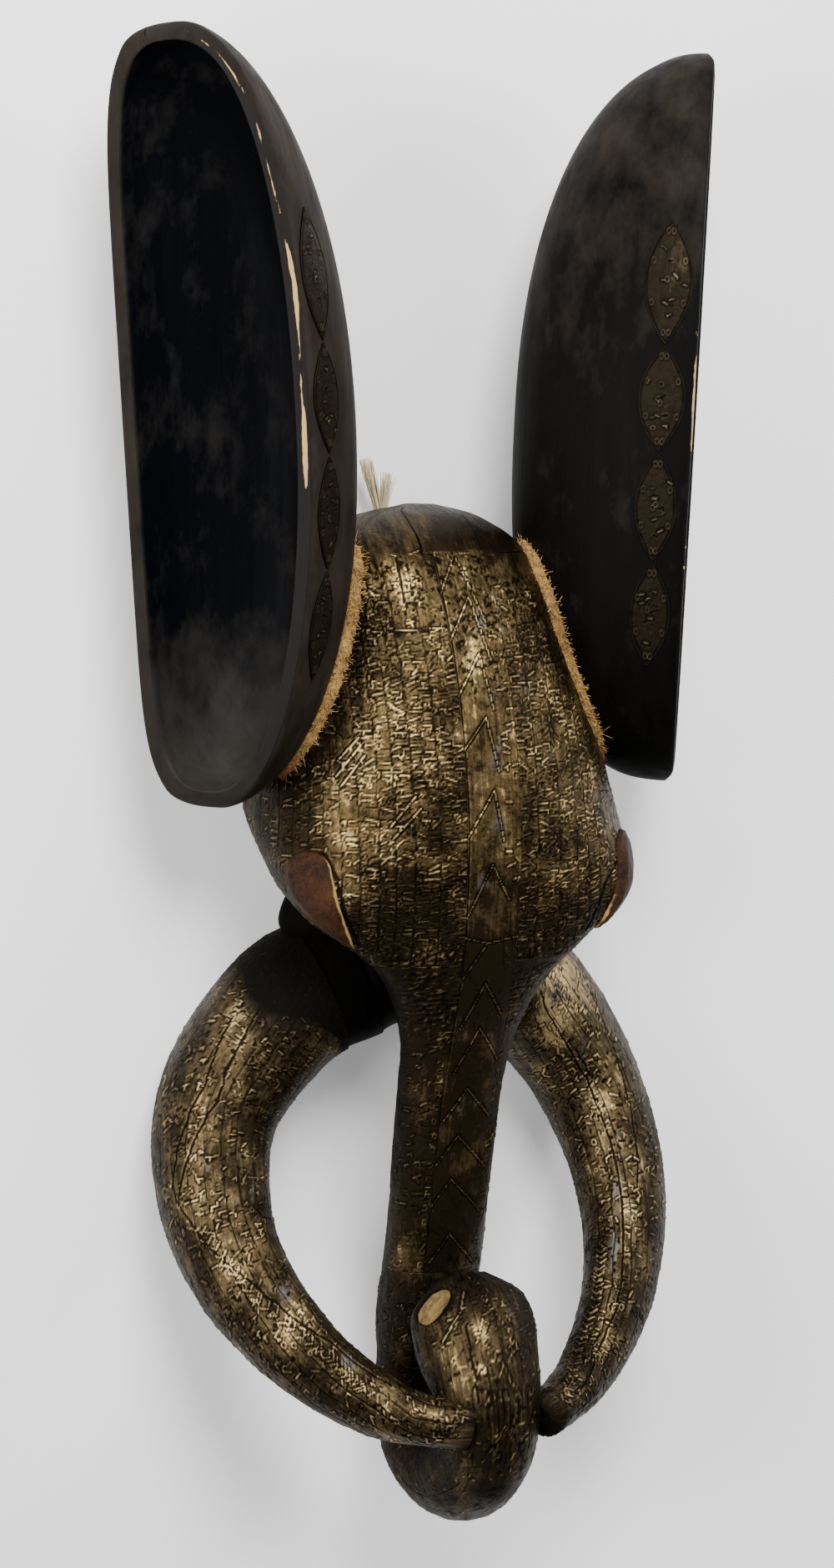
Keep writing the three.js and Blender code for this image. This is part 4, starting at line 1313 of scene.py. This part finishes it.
def makeTuskSheet(side):
    rows = columnsFor(tuskSheets["length"], sheets["tuskStep"])
    shares = np.linspace(tuskSheets["from"], 1, rows)
    columns = tuskSheets["columns"]
    middle = np.array([tuskSheets["faceAt"]])
    towards = eye - tuskCentre(side, middle)[0][0]
    trial = np.linspace(0, 2 * math.pi, 120, endpoint=False)
    ring = tuskRings(side, 0.0, middle, trial)[0]
    facing = trial[np.argmax((ring - ring.mean(0)) @ towards)]
    even = np.linspace(-1, 1, columns)
    angles = facing + math.pi * (0.5 * even + 0.5 * even**3)  # closer together on the seen side
    points = tuskRings(side, sheetLift, shares, angles)
    steps = np.linalg.norm(np.diff(points, axis=1), axis=-1)
    s = np.concatenate([np.zeros((rows, 1)), np.cumsum(steps, 1)], 1)
    s -= s[:, columns // 2][:, None]
    patch = describePatch(points, points[:, :-1].mean(1)[:, None, :], s)
    hammer(patch, 90 + side, tuskSheets["waves"])
    rng = np.random.default_rng(31 + side)
    end = patch["t"][-1]
    band = -tuskSheets["reach"]
    while band < tuskSheets["reach"]:
        width = rng.uniform(12, 16)
        groove(patch, band, 3, end, 0.3, rng, 0.8)
        for t in np.arange(0, end, 60.0):
            spacing = rng.uniform(4.6, 6.2)
            markBand(patch, rng, band + 0.6, band + width - 0.4, t, t + 58, spacing, 0.5, size=0.7)
        band += width
    scratch(patch, rng, tuskSheets["scratches"])
    pecks(patch, rng, tuskSheets["creases"], -100, 100, 6, end - 6, 0.55, 0.4)
    facts = tuskMarks[side]
    for line in facts["seams"]:
        pixelLine(patch, line, 0.9, -0.6, wobble=0.4)
    for a, b in zip(facts["fishbone"], facts["fishbone"][1:]):
        for share in np.arange(0, 1, 0.12):
            s, t = spotAt(patch, *between(a, b, share))
            for reach in (4.5, -4.5):
                stroke(patch, (s, t), (s + reach, t - 3.5), 0.8, 0.6)
    patch["toneAndHighlight"] += facts["brightness"]
    # tone patches partly paint the highlight along each tusk; soot patches paint shade under the head and
    # along the tusks' edges
    for key, amount in (("toneAndHighlight", 0.42), ("lead", 0.5), ("sootAndShade", 0.4)):
        blobs(patch, key, *(row + (amount,) for row in facts[key]))
    # darker at the root: dark wood and painted shade under the head
    fromRoot = 1 - patch["t"] / facts["rootSootAndShade"][0]
    patch["sootAndShade"] += facts["rootSootAndShade"][1] * np.clip(fromRoot, 0, 1)[:, None]
    if side < 0:
        # painted shadow of the head on the left tusk's root, beside the trunk
        besideTrunk = np.clip((patch["u"] - 255) / 70, 0, 1)
        patch["sootAndShade"] += 1.5 * np.clip((1260 - patch["v"]) / 80, 0, 1) * besideTrunk
    else:
        # painted highlight on the right tusk's root, then darker towards the bottom
        blobs(patch, "toneAndHighlight", (665, 1205, 34, 60, 0.75))
        patch["toneAndHighlight"] -= 0.18 * np.clip((patch["v"] - 1380) / 120, 0, 1)
    # painted shade at the tip, where it goes into the curl
    patch["sootAndShade"] += 0.9 * np.clip((patch["t"] - end + 16) / 16, 0, 1)[:, None]
    # painted shade where the sheet is hidden or turns from the viewer
    patch["sootAndShade"] += 0.25 * (~patch["seen"]) + 0.9 * np.clip(0.55 - facingView(patch), 0, 1)
    closeEnd(patch)
    return sheetPiece("tuskSheet_" + sideNames[side], patch, sheets["thickness"])


# Ears

onOuter, onRim, onInner = 0.0, 1.0, 2.0  # kinds of place on an ear


def earRings(side, rows, columns):
    share = np.sin(np.linspace(-0.5, 0.5, rows) * math.pi)
    edge = ear["edge"]
    ends = np.clip((1 - np.abs(share)) * 12, 0, 1)[:, None]
    rings = []
    for grow, sink in ((0.0, 0.0), (-ear["wall"], ear["floor"])):
        back, front = earEdges(share, grow)
        angle = np.linspace(0, math.pi, columns)
        across = ((back + front) / 2)[:, None] + ((front - back) / 2)[:, None] * np.cos(angle)
        deep = earDepthAt(side, sink, share)[:, None] * np.sin(angle) ** ear["roundness"]
        out = -np.sqrt(deep**2 + (edge * ends) ** 2)
        along = np.broadcast_to((share * (ear["length"] / 2 + grow))[:, None], across.shape)
        rings.append((across, along, out))
    outer, inner = rings
    band = np.linspace(0, 1, ear["rimColumns"] + 2)[1:-1]
    rise = edge * ((1 - np.abs(2 * band - 1) ** 4) ** 0.25)

    def rim(first, second, column):
        across, along, out = (
            a[:, column][:, None] * (1 - band) + b[:, column][:, None] * band for a, b in zip(first, second))
        return across, along, out + rise * ends

    parts = [outer, rim(outer, inner, columns - 1), [k[:, ::-1] for k in inner], rim(inner, outer, 0)]
    across, along, out = (np.concatenate([part[k] for part in parts], 1) for k in range(3))
    kind = np.repeat([onOuter, onRim, onInner, onRim], [part[0].shape[1] for part in parts])
    return earPlace(side, across, along, out), np.broadcast_to(kind, across.shape)


wear = {  # lines of pixels with half widths: worn edges, chips and a crack
    "left": [
        [(342, 287, 0.4), (346, 302, 2.2), (349, 318, 2.9), (353, 340, 2.7), (356, 376, 2.5), (358, 401, 1.3),
         (360, 433, 0.7), (362, 474, 0.9), (364, 495, 2.3), (366, 548, 3.0), (367, 577, 2.0),
         (367, 589, 0.3)],
        [(220, 35, 0.5), (256, 58, 0.7), (277, 84, 0.8), (292, 110, 0.7), (310, 156, 0.5), (336, 256, 0.5)],
        [(179, 54, 0.4), (208, 57, 0.4), (233, 69, 0.5), (264, 100, 0.5), (303, 195, 0.4), (326, 300, 0.4)],
        [(337, 411, -0.4), (351, 560, -0.4), (352, 672, -0.4)],
    ],
    "right": [
        [(836, 376, 1.0), (833, 460, 1.4), (829, 545, 1.2)],
        [(819, 678, 2.0), (821, 684, 2.0)], [(821, 653, 1.8), (823, 657, 1.8)],
        [(824, 690, 1.6), (824, 700, 1.6)],
    ],
    "crack": [(176, 26, 1.2), (172, 52, 1.0)],
}


def makeEar(side):
    rings, kind = earRings(side, ear["rows"], ear["columns"])
    grid = np.arange(kind.size).reshape(kind.shape)
    faces = gridQuads(grid, np.roll(grid, -1, 1)).tolist()
    piece = meshPiece("earWood_" + sideNames[side], rings.reshape(-1, 3), faces)
    addValues(piece, "kind", kind.ravel())
    outwardFaces(piece, 0.00003)
    joinShapes(piece, closedLoft("headRoom", fineHead(1.5, 120, 5.0)), "DIFFERENCE")
    smoothByAngle(piece, ear["smoothAngle"])
    points, normals = meshArrays(piece)
    kinds = np.empty(len(points), np.float32)
    piece.data.attributes["kind"].data.foreach_get("value", kinds)
    u, v = toPixels(points)
    haze = np.full(len(points), 0.75) if side < 0 else np.clip((430 - v) / 400, 0, 0.4)
    normals = np.where((kinds > 1.6)[:, None], points - eye, normals)  # the inner wall isn't worn
    lines = wear[sideNames[side]]
    cracks = wear["crack"] if side < 0 else []
    addValues(piece, "inside", (kinds > 1.4) * 1.0)
    addValues(piece, "rim", (np.abs(kinds - onRim) < 0.5) * np.clip((u - 200) / 120, 0.3, 1))
    addValues(piece, "haze", haze)
    addValues(piece, "dust", np.clip((150 - points[:, 1]) / 150, 0, 0.9))
    addValues(piece, "worn", np.max([pixelReach(points, normals, line) for line in lines], 0))
    addValues(piece, "crack", pixelReach(points, normals, cracks))
    return piece


# Bronze plaques pinned down the front wall of each ear

plaques = [  # place along the ear, length, width
    (99, 92, 36), (13, 77, 35), (-67, 79, 31), (-147, 77, 30),
]
plaqueSizes = {
    "thickness": 1.1, "lift": 1.35, "out": -24, "rows": 97, "columns": 41, "rings": 8, "marks": 10,
    "ring": (1.3, 0.65, 0.55, 1.5), "sootAndShade": 0.42,
}


def earFront(side, out, along):
    share = along * 2 / ear["length"]
    back, front = earEdges(share, 0.0)
    deep = earDepthAt(side, 0.0, share)
    sine = np.clip(-out / deep, 0, 1) ** (1 / ear["roundness"])
    across = (back + front) / 2 + (front - back) / 2 * np.sqrt(1 - sine**2)
    return earPlace(side, across, along, out)


def makePlaque(side, index):
    along, length, wide = plaques[index]
    facts = plaqueSizes
    run = np.linspace(-0.998, 0.998, facts["rows"])
    half = wide / 2 * (1 - run**2)
    s = np.linspace(-1, 1, facts["columns"])[None, :] * half[:, None]
    down = np.broadcast_to((along - run * length / 2)[:, None], s.shape)
    points = earFront(side, facts["out"] + s, down)
    middle = earPlace(side, np.zeros((len(run), 1)), down[:, :1], np.full((len(run), 1), -60.0))
    patch = describePatch(points, middle, s)
    patch["t"] = (run + 1) * length / 2
    rng = np.random.default_rng(index * 7 + side + 50)
    patch["height"] += 0.12 * cloud(s.shape, (14, 6), index + 90)
    patch["height"] -= 0.35 * np.exp(-((half[:, None] - np.abs(s) - 1.6) / 0.8) ** 2)
    for k in range(facts["rings"]):
        turn = (k + 0.5) / facts["rings"] * 2 * math.pi
        where = math.cos(turn)
        s0 = math.copysign(wide / 2 * (1 - where**2) * 0.76, math.sin(turn))
        ringMark(patch, s0, (1 + where * 0.88) * length / 2, *facts["ring"])
    ringMark(patch, rng.normal(0, 2), length * rng.uniform(0.45, 0.55), *facts["ring"])
    for _ in range(facts["marks"]):
        motif(patch, rng, rng.normal(0, wide / 7), rng.uniform(0.2, 0.8) * length, 3, 3)
    patch["points"] += patch["normals"] * facts["lift"]
    patch["sootAndShade"] += facts["sootAndShade"]
    if index == 0:
        patch["toneAndHighlight"] += 0.5 * np.exp(-((s - 6 * side) / 8) ** 2 - ((patch["t"][:, None] - 26) / 20) ** 2)
    name = "plaque_%s_%d" % (sideNames[side], index + 1)
    return sheetPiece(name, patch, facts["thickness"])


# Copper eyes

eyes = {
    "top": (140, -30, 158), "tip": (101, -99, 176), "facing": (0.68, -0.25, 0.69), "wide": 40.0,
    "rise": 5.2, "lip": 0.9, "rows": 81, "columns": 57, "brightEdge": {-1: 1.0, 1: 0.72},
}


def headTree():
    surface = headSurface(np.arange(knots[0], knots[-1], 3.0))[:, ::3]
    rows, count = surface.shape[:2]
    grid = np.arange(rows * count).reshape(rows, count)
    faces = gridQuads(grid[:, :-1], grid[:, 1:]).tolist()
    return BVHTree.FromPolygons([Vector(p) for p in surface.reshape(-1, 3)], faces)


def makeEye(side, tree):
    top, tip, facing = (np.array(eyes[key]) * (side, 1, 1) for key in ("top", "tip", "facing"))
    facing = unit(facing)
    length = np.linalg.norm(top - tip)
    along = unit((top - tip) - facing * ((top - tip) @ facing))
    across = np.cross(along, facing)
    y = np.cos(np.linspace(0, math.pi, eyes["rows"])) * 0.999 * length / 2
    half = eyes["wide"] / 2
    shoulder = length / 2 - half
    above = np.sqrt(np.clip(half**2 - np.clip(y - shoulder, 0, None) ** 2, 0.04, None))
    below = half * np.clip((y + length / 2) / (shoulder + length / 2), 0.01, 1) ** 0.72
    wide = np.where(y > shoulder, above, below)
    s = np.sin(np.linspace(-math.pi / 2, math.pi / 2, eyes["columns"]))[None, :] * wide[:, None]
    points = np.empty(s.shape + (3,))
    start = (top + tip) / 2 + along * y[:, None, None] + across * s[..., None] + facing * 60
    for spot in np.ndindex(s.shape):
        hit = tree.ray_cast(Vector(start[spot]), Vector(-facing))[0]
        points[spot] = np.array(hit) if hit else start[spot] - facing * 60
    patch = describePatch(points, points.mean((0, 1)) - facing * 50, s)
    patch["normals"] = np.broadcast_to(facing, points.shape).copy()
    inward = np.minimum(wide[:, None] - np.abs(s), np.minimum(y + length / 2, length / 2 - y)[:, None])
    dome = eyes["rise"] * np.clip(1 - (1 - np.clip(inward / 9, 0, 1)) ** 2, 0, 1) ** 0.6
    lip = eyes["lip"] * np.exp(-((inward - 1.2) / 1.1) ** 2)
    patch["points"] = points + facing * (dome + lip)[..., None] * 0.92 + facing * 0.5
    patch["height"] = 0.35 * cloud(s.shape, (16, 10), 77 + side) + 0.12 * cloud(s.shape, (40, 26), 79)
    innerSide = 0.5 + (patch["u"].mean() - patch["u"]) * side / 14
    patch["toneAndHighlight"] = np.clip(1.1 - inward / 1.5, 0, 1) * np.clip(innerSide, 0.1, eyes["brightEdge"][side])
    thickness = np.sum((patch["points"] - points + facing * 0.6) * patch["normals"], -1)
    return sheetPiece("eyeCopper_" + sideNames[side], patch, thickness[..., None])


eyeColours = {
    "dark": (0.005, 0.003, 0.002, 1), "red": (0.052, 0.019, 0.006, 1), "edge": (0.34, 0.21, 0.07, 1),
}


def copperMaterial(name):
    material, tree, shader = newMaterial(name)
    broad = noise(tree, (1, 1, 1), 60.0, 5.0, 0.65)
    fine = noise(tree, (1, 1, 1), 420.0, 4.0, 0.7)
    share = plus(tree, times(tree, broad, 0.6), times(tree, fine, 0.45))
    colour = blend(tree, spread(tree, share, 0.38, 0.66), eyeColours["dark"], eyeColours["red"])
    edge = plus(tree, value(tree, "toneAndHighlight"), sway(tree, broad, 0.4))
    setInputs(tree, shader, [
        ("Base Color", blend(tree, spread(tree, edge, 0.5, 0.85), colour, eyeColours["edge"])),
        ("Metallic", 0.5), ("Roughness", 0.55), ("Specular IOR Level", 0.15),
        ("Normal", bump(tree, plus(tree, fine, broad), 0.001, 0.9))])
    return material


# Fibre packed between head and ears, and the raffia at the back of the crown

fibres = {
    "top": 193, "bottom": 8, "radius": 7.2, "hairs": 4300, "hairLength": 4.8, "out": 3.0, "sides": 18,
    "dark": (0.06, 0.028, 0.008, 1), "light": (0.62, 0.37, 0.11, 1), "rust": (0.16, 0.045, 0.015, 1),
}


def insideEar(point):
    splay = math.radians(ear["splay"])
    x, y, z = point - np.array(ear["middle"])
    x, y = x * math.cos(splay) - y * math.sin(splay), x * math.sin(splay) + y * math.cos(splay)
    turn = math.radians(ear["turn"])
    out = x * math.cos(turn) + z * math.sin(turn)
    across = z * math.cos(turn) - x * math.sin(turn)
    share = y * 2 / ear["length"]
    back, front = earEdges(share, 0)
    sideways = (across - (back + front) / 2) / ((front - back) / 2)
    return abs(sideways) < 1 and (out / earDepthAt(1, 0, share)) ** 2 + sideways**2 < 1


def seamLine():
    line = []
    for ring in headSurface(np.arange(knots[2], knots[9], 5.0)):
        half = ring[ringCount // 2 :]
        inside = [i for i in range(90) if insideEar(half[i])]
        if inside and fibres["bottom"] <= ring[0, 1] <= fibres["top"]:
            line.append(half[inside[0]] + np.array([-0.35, 0, 1]) * fibres["out"])
    return np.array(line)


def tubeAlong(line, radii, sides, phase=0.0):
    along = unit(np.gradient(line, axis=0))
    across = unit(np.cross(along, (0.31, 0.2, 0.93)))
    up = np.cross(across, along)
    angle = np.linspace(0, 2 * math.pi, sides, endpoint=False) + phase
    ring = np.cos(angle)[None, :, None] * across[:, None] + np.sin(angle)[None, :, None] * up[:, None]
    return line[:, None] + ring * np.broadcast_to(radii, (len(line), sides))[..., None]


def tubesPiece(name, tubes):  # closed tubes gathered in one mesh
    vertices, faces, start = [], [], 0
    for tube in tubes:
        rows, sides = tube.shape[:2]
        grid = np.arange(rows * sides).reshape(rows, sides) + start
        faces += gridQuads(grid, np.roll(grid, -1, 1))[:, [0, 3, 2, 1]].tolist()
        faces += [grid[0].tolist(), grid[-1][::-1].tolist()]
        vertices.append(tube.reshape(-1, 3))
        start += rows * sides
    return meshPiece(name, np.concatenate(vertices), faces)


def makeSeam(side, line):
    rng = np.random.default_rng(17 + side)
    sides = fibres["sides"]
    fine = smoothLoft(line[:, None] * np.ones((1, 2, 1)), 2.0)[:, 0] * (side, 1, 1)
    lumps = cloud((len(fine), sides), (len(fine) // 3, 6), 33 + side)
    lumps[:, -1] = lumps[:, 0]
    order = np.arange(len(fine))
    ends = np.clip(np.minimum(order, order[::-1]) / 3, 0.25, 1)[:, None]
    tubes = [tubeAlong(fine, (fibres["radius"] + lumps) * ends, sides)]
    surface = tubes[0].reshape(-1, 3)
    centres = np.repeat(fine, sides, axis=0)
    for _ in range(fibres["hairs"]):
        i = rng.integers(len(surface))
        foot = surface[i] + rng.normal(0, 0.8, 3)
        lift = surface[i] - centres[i]
        lift /= max(np.linalg.norm(lift), 1e-6)
        lean = rng.normal(0, 0.9, 3)
        reach = lift * rng.uniform(0.1, 0.6) + lean * 0.6
        tip = foot + reach * fibres["hairLength"] * rng.uniform(0.5, 1.2)
        tubes.append(tubeAlong(np.array([foot - lift * 0.8, tip]), np.array([[0.34], [0.12]]), 3))
    piece = tubesPiece("fibreSeam_" + sideNames[side], tubes)
    shades = [rng.uniform(0.2, 1.0) for _ in tubes[1:]]
    addValues(piece, "hair", np.concatenate([np.zeros(len(surface)), np.repeat(shades, 6)]))
    return outwardFaces(piece)


raffia = {
    "foot": (-6.0, 204.0, 24.0), "straws": 150, "spread": 0.42, "swing": 1.3,
    "dark": (0.45, 0.36, 0.2, 1), "light": (0.78, 0.68, 0.45, 1),
}
raffiaBundles = (  # lean, length, width of the open end and tilt; three straws in five are in the first
    (0.27, 54, 6.4, -0.02), (-0.12, 41, 7.2, 0.05),
)


def makeTuft():
    rng = np.random.default_rng(3)
    tubes = []
    for k in range(raffia["straws"]):
        lean, length, mouth, tilt = raffiaBundles[0 if k % 5 < 3 else 1]
        out = np.array([-math.sin(lean), math.cos(lean), math.sin(tilt)])
        apart = rng.normal(0, raffia["spread"], 2)
        aside = np.array([math.cos(lean), math.sin(lean), 0]) * apart[0] + np.array([0, 0, 1]) * apart[1]
        length *= rng.uniform(0.72, 1.0)
        share = np.linspace(0, 1, 6)[:, None]
        swing = rng.normal(0, raffia["swing"], 3)
        line = np.array(raffia["foot"]) + out * length * share
        line = line + aside * mouth * share**1.6 + swing * share * (1 - share) * 2
        line = line + aside * 2.6 * (1 - share)
        size = rng.uniform(0.35, 0.7)
        tubes.append(tubeAlong(line, np.linspace(size, size * 0.5, 6)[:, None], 5, rng.uniform(0, 6)))
    return outwardFaces(tubesPiece("raffiaTuft", tubes))


makeCamera()
makeFloor()
makeWorld()
for lightName in ("above", "left", "right"):
    makeLight(lightName)
print("camera, floor and lights set")

brass, stripBrass, tuskBrass, curlBrass, plaqueMetal = (
    brassMaterial(name, *facts) for name, facts in metals.items())
print("materials ready")

finish(makeBody(), bodyMaterial("carvedWood"), "carved_wood", "head_carving")
print("carving done")

earWood = earMaterial("earWood")
for side, word in sideNames.items():
    finish(makeEar(side), earWood, "ear_wood", "ear_" + word)
    for index in range(len(plaques)):
        plaque = makePlaque(side, index)
        finish(plaque, plaqueMetal, "plaque_bronze", "ear_plaque_%s_%d" % (word, index + 1))
print("ears and plaques done")

for side, word in sideNames.items():
    finish(makeForehead(side), brass, "sheet_brass", "brass_forehead_" + word)
    finish(makeTuskSheet(side), tuskBrass, "sheet_brass", "brass_tusk_" + word)
finish(makeStrip(), stripBrass, "sheet_brass", "brass_centre_strip")
finish(makeTrunk(), brass, "sheet_brass", "brass_trunk")
finish(makeCurl(), curlBrass, "sheet_brass", "brass_curl")
print("brass sheets done")

copper = copperMaterial("copper")
surfaceTree = headTree()
for side, word in sideNames.items():
    finish(makeEye(side, surfaceTree), copper, "eye_copper", "eye_" + word)
print("eyes done")

seamFibre = fibreMaterial("seamFibre", fibres["dark"], fibres["light"], hairs=0.42)
line = seamLine()
for side, word in sideNames.items():
    finish(makeSeam(side, line), seamFibre, "seam_fibre", "fibre_seam_" + word)
straw = fibreMaterial("raffia", raffia["dark"], raffia["light"], 0.85)
finish(makeTuft(), straw, "raffia", "raffia_tuft")
print("fibre and raffia done")
